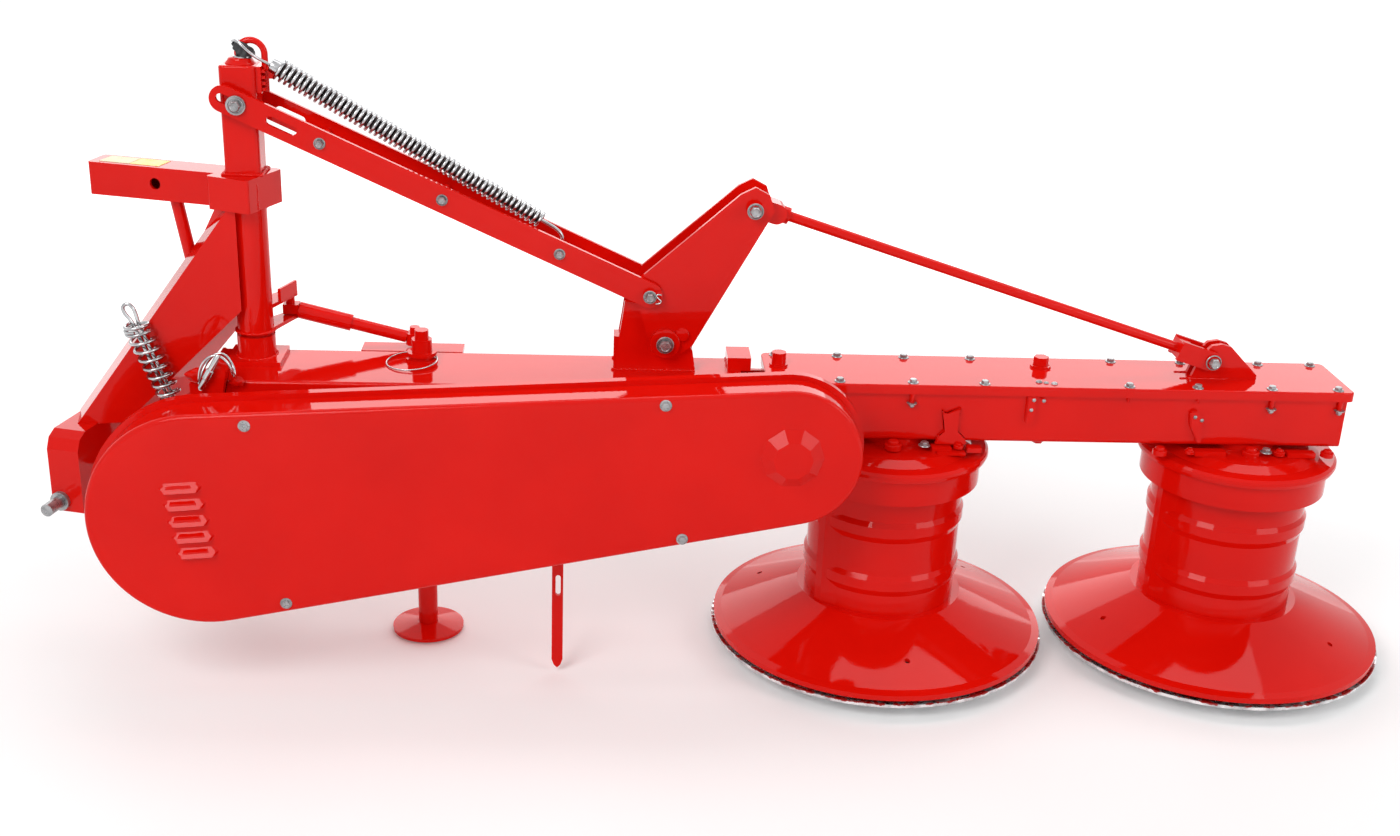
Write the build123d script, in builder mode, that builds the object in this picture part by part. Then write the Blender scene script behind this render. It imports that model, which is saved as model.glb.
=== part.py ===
from build123d import *
import math
import os

# Two-drum rear mower, millimetres. X along the beams away from the hitch,
# Y forward when cutting, Z up. Floor at Z = 0, origin under the inner drum.

os.makedirs("parts", exist_ok=True)

# Middle of the whole machine's box, which becomes the row's origin
CENTRE_X = -257.82
CENTRE_Y = 9.99

# Cutter unit
DRUM_PITCH = 650
DRUM_X = (0, DRUM_PITCH)
DRUM_R = 140
BEAD = 5
BEAD_Z = (278, 172)
VANE_RISE = 9
VANE_SWEEP = 29
VANE_START = (209, 191.5)
HOLE_TURN = (155, 197)
DISC_R = 310
DISC_RIM_Z = 36
DISC_TOP_Z = 112
RIM_PROUD = 4
SAUCER_R = DISC_R + RIM_PROUD
CAP_R = 180
SKIRT_R = CAP_R - 13
CAP_TOP_Z = 408
CAP_RISE = 11
NECK_R = 68
SKIRT_END_Z = 344
BOX_Y = 72
BOX_BOTTOM_Z = 432
BOX_TOP_Z = 532
BOX_X = (-145, 812)
COVER_Y = 80
COVER_T = 9
COVER_LIP = 8
COVER_X = (-240, 822)
FILLER = (272, 30)
HUB_PLUG = (-213, 13)
SHAFT_R = 30
RUN = 0.06

# Tilt hinge between the frame and the cutter unit
HINGE_X = -211
HINGE_Z = 468
HUB_R = 56
HUB_Y = 46

# Frame
BEAM_X = (-1205, -292)
BEAM_Z = (440, 540)
BEAM_Y = (-118, 50)
POST_X = -1140
POST_R = 25
POST_TOP_Z = 1058
ARCH = (-1120, 1074)
ARCH_R = 22
ARCH_BAR_R = 5.5
POST_SIDE = 60
POST_FOOT_Z = 586

# Belt guard, two circles joined by tangents
BIG_X = -1195
BIG_Z = 341
BIG_R = 191
SMALL_X = -213
SMALL_Z = 470
SMALL_R = 122
GUARD_FACE_Y = -262
GUARD_BACK_Y = -188
FLANGE_EXTRA = 9

# Hitch frame, local x out along the arm and local y to the near side
HITCH_ANGLE = 15
ARM_OUT = 279
ARM_Z = (818, 875)
ARM_W = 58
SLEEVE_R = 31
COLLAR_X = (-40, 40)
COLLAR_Y = (-46, 57)
COLLAR_TURN = -8
LEG_OUT = 256
LEG_SIDE = 197
LEG_W = 58
LEG_BOTTOM_Z = 306
BOW_TOP_Z = 448
PIN_OUT = 38
PIN_R = 11
TOP_BORE_R = 9.75

# Lift linkage pivots in the XZ plane
F_PIN = (-1140, 997)
E_PIN = (-451, 685)
D_PIN = (-422, 597)
C_PIN = (-275, 841)
B_PIN = (572, 576)

# Park stand and input shaft
STAND_X = -852
STAND_Y = 5
INPUT_R = 17.5
INPUT_Y = (70, 150)
SPLINE_R = 16.4
SPLINE_END_Y = 176
SHOULDER_R = 20
GUIDE_R = 21


def upright(y):
    """Plane facing -Y whose local axes are X and Z."""
    return Plane(origin=(0, y, 0), x_dir=(1, 0, 0), z_dir=(0, -1, 0))


def hitch_plane(z=0):
    """Level plane of the hitch frame on the post axis."""
    a = math.radians(HITCH_ANGLE)
    return Plane(origin=(POST_X, 0, z), x_dir=(-math.cos(a), math.sin(a), 0), z_dir=(0, 0, 1))


def hitch_upright(side=0):
    """Upright plane along the arm, local y up, normal to the far side."""
    a = math.radians(HITCH_ANGLE)
    n = Vector(math.sin(a), math.cos(a), 0)
    o = Vector(POST_X, 0, 0) - n * side
    return Plane(origin=o, x_dir=(-math.cos(a), math.sin(a), 0), z_dir=n)


def guard_wire(grow):
    """Outline of the belt guard, grown by the given distance."""
    r1 = BIG_R + grow
    r2 = SMALL_R + grow
    dx = SMALL_X - BIG_X
    dz = SMALL_Z - BIG_Z
    base = math.atan2(dz, dx)
    lean = math.acos((r1 - r2) / math.hypot(dx, dz))
    up = base + lean
    low = base - lean
    big_up = (BIG_X + r1 * math.cos(up), BIG_Z + r1 * math.sin(up))
    big_low = (BIG_X + r1 * math.cos(low), BIG_Z + r1 * math.sin(low))
    big_far = (BIG_X - r1 * math.cos(base), BIG_Z - r1 * math.sin(base))
    small_up = (SMALL_X + r2 * math.cos(up), SMALL_Z + r2 * math.sin(up))
    small_low = (SMALL_X + r2 * math.cos(low), SMALL_Z + r2 * math.sin(low))
    small_far = (SMALL_X + r2 * math.cos(base), SMALL_Z + r2 * math.sin(base))
    return big_up, big_far, big_low, small_low, small_far, small_up


def guard_face(plane, grow):
    """Sketch of the belt guard outline."""
    a, b, c, d, e, f = guard_wire(grow)
    with BuildSketch(plane, mode=Mode.PRIVATE) as sk:
        with BuildLine():
            ThreePointArc(a, b, c)
            Line(c, d)
            ThreePointArc(d, e, f)
            Line(f, a)
        make_face()
    return sk.sketch


def bar_between(p, q, w, y0, y1, ends=True):
    """Flat bar of width w from p to q in the XZ plane, with round ends."""
    length = math.hypot(q[0] - p[0], q[1] - p[1])
    angle = math.degrees(math.atan2(q[1] - p[1], q[0] - p[0]))
    mid = ((p[0] + q[0]) / 2, (p[1] + q[1]) / 2)
    with BuildPart(mode=Mode.PRIVATE) as bp:
        with BuildSketch(upright(y1)):
            with Locations(Location((mid[0], mid[1], 0), (0, 0, angle))):
                if ends:
                    SlotCenterToCenter(length, w)
                else:
                    Rectangle(length, w)
        extrude(amount=y1 - y0)
    return bp.part


def pin_y(x, z, r, y0, y1):
    """Round pin along Y."""
    with BuildPart(mode=Mode.PRIVATE) as bp:
        with BuildSketch(upright(y1)):
            with Locations((x, z)):
                Circle(r)
        extrude(amount=y1 - y0)
    return bp.part


def post_z(x, y, r, z0, z1):
    """Round bar along Z."""
    with BuildPart(mode=Mode.PRIVATE) as bp:
        with BuildSketch(Plane.XY.offset(z0)):
            with Locations((x, y)):
                Circle(r)
        extrude(amount=z1 - z0)
    return bp.part


def block(x0, x1, y0, y1, z0, z1):
    """Box between two corners."""
    with BuildPart(mode=Mode.PRIVATE) as bp:
        with Locations(((x0 + x1) / 2, (y0 + y1) / 2, (z0 + z1) / 2)):
            Box(x1 - x0, y1 - y0, z1 - z0)
    return bp.part


def rod_between(p, q, r):
    """Round rod between two points in space."""
    a = Vector(*p)
    b = Vector(*q)
    with BuildPart(mode=Mode.PRIVATE) as bp:
        with BuildSketch(Plane(origin=a, z_dir=(b - a).normalized())):
            Circle(r)
        extrude(amount=(b - a).length)
    return bp.part


def turned(x, y, points):
    """Solid turned about the vertical axis through x, y."""
    with BuildPart(mode=Mode.PRIVATE) as bp:
        with BuildSketch(Plane(origin=(x, y, 0), x_dir=(1, 0, 0), z_dir=(0, -1, 0))):
            with BuildLine():
                Polyline(*points, close=True)
            make_face()
        revolve(axis=Axis((x, y, 0), (0, 0, 1)))
    return bp.part


def save(builder, name):
    """Label a finished piece, set it in the row frame and write it."""
    placed = Location((-CENTRE_X, -CENTRE_Y, 0)) * builder.part
    placed.label = name
    export_step(placed, "parts/" + name + ".step")


# Main frame: the inner beam, a wide box open at the hinge end
BEAM_WALL = 6
with BuildPart() as inner_beam:
    add(block(BEAM_X[0], BEAM_X[1], BEAM_Y[0], BEAM_Y[1], BEAM_Z[0], BEAM_Z[1]))
    fillet(inner_beam.edges().filter_by(Axis.X), 6)
    add(
        block(
            BEAM_X[0] - 1, BEAM_X[1] + 1, BEAM_Y[0] + BEAM_WALL, BEAM_Y[1] - BEAM_WALL,
            BEAM_Z[0] + BEAM_WALL, BEAM_Z[1] - BEAM_WALL,
        ),
        mode=Mode.SUBTRACT,
    )
    add(post_z(STAND_X, STAND_Y, GUIDE_R + 0.5, BEAM_Z[0] - 10, BEAM_Z[1] + 20), mode=Mode.SUBTRACT)
    # Square stop block on top near the hinge
    add(block(-308, -266, -20, 42, BEAM_Z[1], BEAM_Z[1] + 24))
    add(block(BEAM_X[1], -200, -60, 60, BEAM_Z[1] - 20, BEAM_Z[1]), mode=Mode.SUBTRACT)
save(inner_beam, "inner_beam")

# End plate that closes the beam on the hitch side, with the latch bar and its tongue
with BuildPart() as swing_latch:
    end = BEAM_X[0]
    add(block(end - 6, end, BEAM_Y[0], BEAM_Y[1], BEAM_Z[0], BEAM_Z[1]))
    with BuildSketch(upright(-66)):
        Polygon((end - 30, 470), (end + 3, 470), (end + 29, 542), (end - 3, 549), align=None)
    extrude(amount=30)
    add(block(end - 35, end - 6, -90, -70, 492, 522))
    add(block(end, end + 60, BEAM_Y[0] - 10, BEAM_Y[1] + 10, 430, BEAM_Z[1]), mode=Mode.SUBTRACT)
save(swing_latch, "swing_latch")

# Post: foot ring on the beam and the round pivot inside the hitch sleeve
with BuildPart() as post_pivot:
    add(block(POST_X - 48, POST_X + 48, -46, 46, 540, 548))
    add(post_z(POST_X, 0, 33, 548, POST_FOOT_Z))
    add(post_z(POST_X, 0, POST_R, POST_FOOT_Z, 876.5))
save(post_pivot, "post_pivot")

# Square head of the post above the arm, with its top stub and the ribbed
# bracket beside it which holds the relief spring
HEAD_TOP_Z = POST_TOP_Z
EAR_X = POST_X + POST_SIDE / 2
with BuildPart() as post_head:
    half = POST_SIDE / 2
    add(block(POST_X - half, POST_X + half, -half, half, ARM_Z[1] + 1.5, HEAD_TOP_Z))
    fillet(post_head.edges().filter_by(Axis.Z), 9)
    fillet(post_head.faces().sort_by(Axis.Z)[-1].edges(), 4)
    add(post_z(POST_X, 0, 15, HEAD_TOP_Z - 1, HEAD_TOP_Z + 6))
    add(block(EAR_X - 1, EAR_X + 8, -20, 20, HEAD_TOP_Z - 46, HEAD_TOP_Z - 2))
    for drop in (10, 20, 30, 40):
        rib_z = HEAD_TOP_Z - drop
        add(block(EAR_X + 8, EAR_X + 14, -16, 16, rib_z - 2.5, rib_z + 2.5))
    add(block(EAR_X + 8, EAR_X + 26, -4, 4, HEAD_TOP_Z - 24, HEAD_TOP_Z - 4))
    # Bent round bar that arches over the stub
    with BuildSketch(Plane.XY.offset(ARCH[1])):
        with Locations((ARCH[0] + ARCH_R, 0)):
            Circle(ARCH_BAR_R)
    revolve(axis=Axis((ARCH[0], 0, ARCH[1]), (0, -1, 0)), revolution_arc=180)
    left, right = ARCH[0] - ARCH_R, ARCH[0] + ARCH_R
    add(rod_between((left, 0, HEAD_TOP_Z + 1), (left, 0, ARCH[1]), ARCH_BAR_R))
    add(rod_between((right, 0, HEAD_TOP_Z - 46), (right, 0, ARCH[1]), ARCH_BAR_R))
save(post_head, "post_head")

# Pin across the post head that guides the slotted link
with BuildPart() as link_pin:
    for near, far in ((-52, -POST_SIDE / 2), (POST_SIDE / 2, 52)):
        add(pin_y(F_PIN[0], F_PIN[1], 5.5, near, far))
    for near in (-51, 47):
        add(pin_y(F_PIN[0], F_PIN[1], 16, near, near + 4))
save(link_pin, "link_pin")

# Fixed bracket of the rocker, two plates on the beam
with BuildPart() as rocker_bracket:
    outline = [(-512, 540), (-366, 540), (-372, 578), (-392, 618), (-440, 640), (-470, 664), (-494, 668), (-498, 636)]
    for y_back in (-19, 27):
        with BuildSketch(upright(y_back)):
            Polygon(*outline, align=None)
        extrude(amount=8)
    add(block(-512, -486, -19, 19, 540, 600))
    add(pin_y(D_PIN[0], D_PIN[1], 12, -52, 52))
save(rocker_bracket, "rocker_bracket")

# Yoke at the beam's end that carries the tilt hinge
with BuildPart() as hinge_yoke:
    for y_back, start_x in ((-50, BEAM_X[1]), (60, -340)):
        with BuildSketch(upright(y_back)):
            with Locations((HINGE_X, HINGE_Z)):
                Circle(HUB_R)
            Polygon(
                (start_x, 446), (HINGE_X, HINGE_Z - HUB_R), (HINGE_X, 516), (-264, 516), (-276, 534),
                (start_x, 534), align=None,
            )
        extrude(amount=10)
    add(block(BEAM_X[1], BEAM_X[1] + 8, BEAM_Y[0], BEAM_Y[1], BEAM_Z[0], BEAM_Z[1]))
    add(pin_y(HINGE_X, HINGE_Z, 40, GUARD_BACK_Y + 4, -60))
    add(pin_y(HINGE_X, HINGE_Z, SHAFT_R, -60, 60))
save(hinge_yoke, "hinge_yoke")

# Belt guard: pressed cover with its dome and louvres, and the wider back tray
LOUVRE = (
    # x, z of each louvre's middle
    (-1226, 402),
    (-1221, 373),
    (-1216, 344),
    (-1211, 314),
    (-1206, 285),
)
with BuildPart() as belt_cover:
    add(extrude(guard_face(upright(GUARD_BACK_Y - 12), 0), amount=GUARD_BACK_Y - 12 - GUARD_FACE_Y))
    fillet(belt_cover.faces().sort_by(Axis.Y)[0].edges(), 8)
    add(
        extrude(guard_face(upright(GUARD_BACK_Y), -3), amount=GUARD_BACK_Y - GUARD_FACE_Y - 3),
        mode=Mode.SUBTRACT,
    )
    with BuildSketch(upright(GUARD_FACE_Y + 1)):
        with Locations((HINGE_X, HINGE_Z + 7)):
            RegularPolygon(55, 10)
    extrude(amount=16, taper=52)
    for lx, lz in LOUVRE:
        with BuildSketch(upright(GUARD_FACE_Y + 1)):
            with Locations(Location((lx, lz, 0), (0, 0, 5))):
                Polygon((-30, 0), (-21, -9), (21, -9), (30, 0), (21, 9), (-21, 9), align=None)
        extrude(amount=7, taper=35)
save(belt_cover, "belt_cover")

with BuildPart() as belt_tray:
    add(extrude(guard_face(upright(GUARD_BACK_Y + 4), FLANGE_EXTRA), amount=4))
    add(extrude(guard_face(upright(GUARD_BACK_Y), FLANGE_EXTRA), amount=12))
    add(extrude(guard_face(upright(GUARD_BACK_Y), FLANGE_EXTRA - 4), amount=9), mode=Mode.SUBTRACT)
    add(extrude(guard_face(upright(GUARD_BACK_Y), -8), amount=14), mode=Mode.SUBTRACT)
save(belt_tray, "belt_tray")

# Brackets that carry the guard from the beam
with BuildPart() as guard_brackets:
    for bx, bz0, bz1 in ((-1170, 446, 500), (-700, 446, 520), (-400, 446, 530)):
        add(block(bx - 30, bx + 30, GUARD_BACK_Y + 4, BEAM_Y[0], bz1 - 8, bz1))
        add(block(bx - 4, bx + 4, GUARD_BACK_Y + 4, BEAM_Y[0], bz0, bz1 - 8))
save(guard_brackets, "guard_brackets")

# Flat strap hanging behind the guard
with BuildPart() as guard_strap:
    with BuildSketch(upright(-150)):
        with BuildLine():
            Polyline((-614, 430), (-594, 430), (-594, 26), (-598, 14), (-604, 8), (-610, 14), (-614, 26), close=True)
        make_face()
        with Locations((-603, 176)):
            SlotOverall(40, 9, rotation=90, mode=Mode.SUBTRACT)
    extrude(amount=6)
    add(block(-634, -574, -156, BEAM_Y[0], 430, 438))
    add(block(-634, -574, BEAM_Y[0] - 8, BEAM_Y[0], 438, 500))
save(guard_strap, "guard_strap")

# Input bearing housing below the beam
with BuildPart() as input_housing:
    add(pin_y(BIG_X, BIG_Z, 52, GUARD_BACK_Y + 4, 60))
    add(pin_y(BIG_X, BIG_Z, 68, 52, 64))
    add(block(BIG_X - 40, BIG_X + 40, -46, 46, BIG_Z + 20, 434))
    add(block(BIG_X - 5, BIG_X + 75, -46, 46, 430, BEAM_Z[0]))
    add(pin_y(BIG_X, BIG_Z, SHOULDER_R + RUN, -120, 70), mode=Mode.SUBTRACT)
save(input_housing, "input_housing")

# Input stub for the tractor's drive shaft
with BuildPart() as input_shaft:
    add(pin_y(BIG_X, BIG_Z, SHOULDER_R, -115, 70))
    add(pin_y(BIG_X, BIG_Z, INPUT_R, *INPUT_Y))
    add(pin_y(BIG_X, BIG_Z, SPLINE_R, INPUT_Y[1], SPLINE_END_Y))
    groove_r = SPLINE_R + 0.8
    for k in range(6):
        a = math.radians(60 * k)
        groove = pin_y(BIG_X + groove_r * math.cos(a), BIG_Z + groove_r * math.sin(a), 3, INPUT_Y[1] + 1, 180)
        add(groove, mode=Mode.SUBTRACT)
save(input_shaft, "input_shaft")

# Guide of the park stand through the beam
STAND_R = 18
with BuildPart() as stand_guide:
    add(post_z(STAND_X, STAND_Y, GUIDE_R, BEAM_Z[0] - 8, 553))
    add(post_z(STAND_X, STAND_Y, 28, BEAM_Z[1], BEAM_Z[1] + 5))
    add(post_z(STAND_X, STAND_Y, 26, 551, 557))
    add(post_z(STAND_X, STAND_Y, STAND_R + RUN, 420, 570), mode=Mode.SUBTRACT)
save(stand_guide, "stand_guide")

with BuildPart() as park_stand:
    add(post_z(STAND_X, STAND_Y, STAND_R, 8, 580))
    add(turned(STAND_X, STAND_Y, [(0, 0), (60, 0), (66, 3), (66, 9), (60, 10), (22, 16), (0, 16)]))
    add(post_z(STAND_X, STAND_Y, 12.5, 580, 597))
save(park_stand, "park_stand")

# Far side plate that takes the lock strut
with BuildPart() as strut_plate:
    add(block(-966, -784, 50, 96, 530, 540))
save(strut_plate, "strut_plate")

# Hitch frame: round sleeve on the post
with BuildPart() as hitch_sleeve:
    add(post_z(POST_X, 0, SLEEVE_R, 591.5, ARM_Z[0]))
    add(post_z(POST_X, 0, SLEEVE_R + 2, 591.5, 596))
    add(post_z(POST_X, 0, POST_R + RUN, 590, ARM_Z[0]), mode=Mode.SUBTRACT)
save(hitch_sleeve, "hitch_sleeve")

# Upper arm, a square tube closed at its outer end, on a collar round the post
with BuildPart() as top_arm:
    high = ARM_Z[1] - ARM_Z[0]
    with BuildSketch(hitch_plane(ARM_Z[0])):
        with Locations(((ARM_OUT + 20) / 2, 0)):
            RectangleRounded(ARM_OUT - 20, ARM_W, 5)
    extrude(amount=high)
    with BuildSketch(hitch_plane(ARM_Z[0] + 6)):
        with Locations(((ARM_OUT + 46) / 2, 0)):
            Rectangle(ARM_OUT - 46 - 12, ARM_W - 12)
    extrude(amount=high - 12, mode=Mode.SUBTRACT)
    with BuildSketch(hitch_plane(ARM_Z[0])):
        turn = Location((0, 0, 0), (0, 0, COLLAR_TURN))
        with Locations(turn * Location(((COLLAR_X[0] + COLLAR_X[1]) / 2, (COLLAR_Y[0] + COLLAR_Y[1]) / 2, 0))):
            RectangleRounded(COLLAR_X[1] - COLLAR_X[0], COLLAR_Y[1] - COLLAR_Y[0], 5)
    extrude(amount=high)
    with BuildSketch(hitch_plane(ARM_Z[0])):
        Circle(POST_R + RUN)
    extrude(amount=high, mode=Mode.SUBTRACT)
    with BuildSketch(hitch_upright(60)):
        with Locations((155, (ARM_Z[0] + ARM_Z[1]) / 2)):
            Circle(TOP_BORE_R)
    extrude(amount=120, mode=Mode.SUBTRACT)
save(top_arm, "top_arm")


def arm_box(side):
    """Sloping box arm from the sleeve to one end of the bow."""
    a = math.radians(HITCH_ANGLE)
    out = Vector(-math.cos(a), math.sin(a), 0)
    near = Vector(-math.sin(a), -math.cos(a), 0)
    run = out * LEG_OUT + near * (side * 128)
    flat = run.normalized()
    cross = Vector(flat.Y, -flat.X, 0) * -1
    plane = Plane(origin=Vector(POST_X, 0, 0) + cross * 38, x_dir=flat, z_dir=cross * -1)
    far = run.length
    with BuildPart(mode=Mode.PRIVATE) as bp:
        with BuildSketch(plane):
            Polygon((22, ARM_Z[0]), (36, ARM_Z[0]), (far + 22, 446), (far - 60, 446), (22, 640), align=None)
        extrude(amount=76)
    return bp.part


# Bow: two splayed legs joined by the top tube
with BuildPart() as hitch_bow:
    a = math.radians(HITCH_ANGLE)
    bow_plane = Plane(
        origin=Vector(POST_X, 0, 0) + Vector(-math.cos(a), math.sin(a), 0) * (LEG_OUT - LEG_W / 2),
        x_dir=(-math.sin(a), -math.cos(a), 0),
        z_dir=(-math.cos(a), math.sin(a), 0),
    )
    side = LEG_SIDE + LEG_W / 2
    with BuildSketch(bow_plane):
        Polygon(
            (side, LEG_BOTTOM_Z), (side, BOW_TOP_Z - 28), (side - 9, BOW_TOP_Z - 9), (side - 28, BOW_TOP_Z),
            (28 - side, BOW_TOP_Z), (9 - side, BOW_TOP_Z - 9), (-side, BOW_TOP_Z - 28), (-side, LEG_BOTTOM_Z),
            (LEG_W - side, LEG_BOTTOM_Z), (LEG_W - side, BOW_TOP_Z - 58),
            (side - LEG_W, BOW_TOP_Z - 58), (side - LEG_W, LEG_BOTTOM_Z),
            align=None,
        )
    extrude(amount=LEG_W)
save(hitch_bow, "hitch_bow")

# Sloping arms with the round brace up to the arm tube
with BuildPart() as hitch_arms:
    add(arm_box(1))
    add(arm_box(-1))
    a = math.radians(HITCH_ANGLE)
    out = Vector(-math.cos(a), math.sin(a), 0)
    brace_top = Vector(POST_X, 0, ARM_Z[0] + 20) + out * 138
    brace_low = Vector(POST_X, 0, 680) + out * 108
    add(rod_between(brace_top, brace_low, 11))
    add(block(POST_X - 400, POST_X + 400, -400, 400, ARM_Z[0], ARM_Z[0] + 100), mode=Mode.SUBTRACT)
    add(post_z(POST_X, 0, SLEEVE_R, 500, 900), mode=Mode.SUBTRACT)
    add(hitch_bow.part, mode=Mode.SUBTRACT)
save(hitch_arms, "hitch_arms")

# Lower link pins, one at each leg
LEG_FACE = LEG_SIDE + LEG_W / 2
BOSS = 7
with BuildPart() as lower_pins:
    a = math.radians(HITCH_ANGLE)
    out = Vector(-math.cos(a), math.sin(a), 0)
    near = Vector(-math.sin(a), -math.cos(a), 0)
    for side in (1, -1):
        foot = Vector(POST_X, 0, 326) + out * (LEG_OUT + 12)
        face = foot + near * (side * LEG_FACE)
        root = foot + near * (side * (LEG_FACE + BOSS))
        tip = foot + near * (side * (LEG_FACE + BOSS + PIN_OUT))
        add(rod_between(face, root, 17))
        add(rod_between(root, tip, PIN_R))
save(lower_pins, "lower_pins")

# Bracket of the lock strut on the sleeve
STRUT_PIN = (-1092, 74)
STRUT_EYE = (-872, 74)
STRUT_Z = 610
STRUT_END_Z = 556
BRACKET_Z = (592, 634)
TUBE_R = 15
BAR_R = 11
with BuildPart() as strut_bracket:
    for plate_z in BRACKET_Z:
        with BuildSketch(Plane.XY.offset(plate_z)):
            Polygon((-1146, 20), (-1110, -10), (-1080, 70), (-1104, 80), align=None)
            with Locations(STRUT_PIN):
                Circle(13.5)
        extrude(amount=7)
    add(post_z(STRUT_PIN[0], STRUT_PIN[1], 7.95, BRACKET_Z[0] + 7, BRACKET_Z[1]))
    add(post_z(POST_X, 0, SLEEVE_R, 560, 660), mode=Mode.SUBTRACT)
    add(hitch_arms.part, mode=Mode.SUBTRACT)
    add(hitch_sleeve.part, mode=Mode.SUBTRACT)
save(strut_bracket, "strut_bracket")


def strut_point(x):
    """Point of the strut's sloping line at the given x."""
    run = (x - STRUT_PIN[0]) / (STRUT_EYE[0] - STRUT_PIN[0])
    return (x, STRUT_PIN[1], STRUT_Z + (STRUT_END_Z - STRUT_Z) * run)


# Telescopic lock strut: socket tube and sliding bar
with BuildPart() as strut_tube:
    add(block(STRUT_PIN[0] - 12, STRUT_PIN[0] + 16, 62, 86, STRUT_Z - 9, STRUT_Z + 9))
    add(rod_between(strut_point(-1077), strut_point(-984), TUBE_R))
    add(rod_between(strut_point(-1068), strut_point(-970), BAR_R + RUN), mode=Mode.SUBTRACT)
    add(block(STRUT_PIN[0] - 14, STRUT_PIN[0] + 14, 50, 100, STRUT_Z + 9, STRUT_Z + 40), mode=Mode.SUBTRACT)
    add(block(STRUT_PIN[0] - 14, STRUT_PIN[0] + 14, 50, 100, STRUT_Z - 40, STRUT_Z - 9), mode=Mode.SUBTRACT)
    add(post_z(STRUT_PIN[0], STRUT_PIN[1], 8, STRUT_Z - 40, STRUT_Z + 40), mode=Mode.SUBTRACT)
save(strut_tube, "strut_tube")

with BuildPart() as strut_bar:
    add(rod_between(strut_point(-1034), strut_point(STRUT_EYE[0] - 14), BAR_R))
    add(post_z(STRUT_EYE[0], STRUT_EYE[1], 16, 546, 568))
    add(post_z(STRUT_EYE[0], STRUT_EYE[1], 9, 546, 579))
save(strut_bar, "strut_bar")

# Cutter unit: hub, neck and the long gear box
with BuildPart() as cutter_hub:
    add(pin_y(HINGE_X, HINGE_Z, HUB_R - 6, -HUB_Y, HUB_Y))
    add(block(HINGE_X, BOX_X[0], -42, 42, 440, 526))
    add(pin_y(HINGE_X, HINGE_Z, SHAFT_R + RUN, -80, 80), mode=Mode.SUBTRACT)
save(cutter_hub, "cutter_hub")

with BuildPart() as cutter_box:
    add(block(BOX_X[0], BOX_X[1], -BOX_Y, BOX_Y, BOX_BOTTOM_Z, BOX_TOP_Z))
    fillet(cutter_box.edges().filter_by(Axis.X).sort_by(Axis.Z)[:2], 8)
    for dx in DRUM_X:
        add(post_z(dx, 0, SHAFT_R + RUN, 430, 470), mode=Mode.SUBTRACT)
save(cutter_box, "cutter_box")

# Cover with its edge turned down over the box
with BuildPart() as cutter_cover:
    add(block(COVER_X[0], COVER_X[1], -COVER_Y, COVER_Y, BOX_TOP_Z - COVER_LIP, BOX_TOP_Z + COVER_T))
    fillet(cutter_cover.edges().filter_by(Axis.Z), 12)
    fillet(cutter_cover.faces().sort_by(Axis.Z)[-1].edges(), 3)
    add(block(COVER_X[0] + 8, BOX_X[1], -BOX_Y, BOX_Y, 500, BOX_TOP_Z), mode=Mode.SUBTRACT)
save(cutter_cover, "cutter_cover")

# Filler plugs on the cover and the hub
with BuildPart() as oil_plugs:
    cover_top = BOX_TOP_Z + COVER_T
    add(post_z(*FILLER, 19, cover_top, cover_top + 4))
    with BuildSketch(Plane.XY.offset(cover_top + 4)):
        with Locations(FILLER):
            RegularPolygon(14, 6)
    extrude(amount=16)
    add(post_z(*HUB_PLUG, 17, cover_top, cover_top + 4))
    add(post_z(*HUB_PLUG, 13, cover_top + 4, cover_top + 25))
save(oil_plugs, "oil_plugs")

# Lugs of the lift rod on the cover
with BuildPart() as rod_lugs:
    for y_back in (-8, 16):
        with BuildSketch(upright(y_back)):
            Polygon((538, 541), (660, 541), (660, 549), (606, 602), (588, 607), (570, 604), (552, 584), align=None)
        extrude(amount=8)
    add(pin_y(B_PIN[0], B_PIN[1], 11.5, -40, 40), mode=Mode.SUBTRACT)
save(rod_lugs, "rod_lugs")

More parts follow.
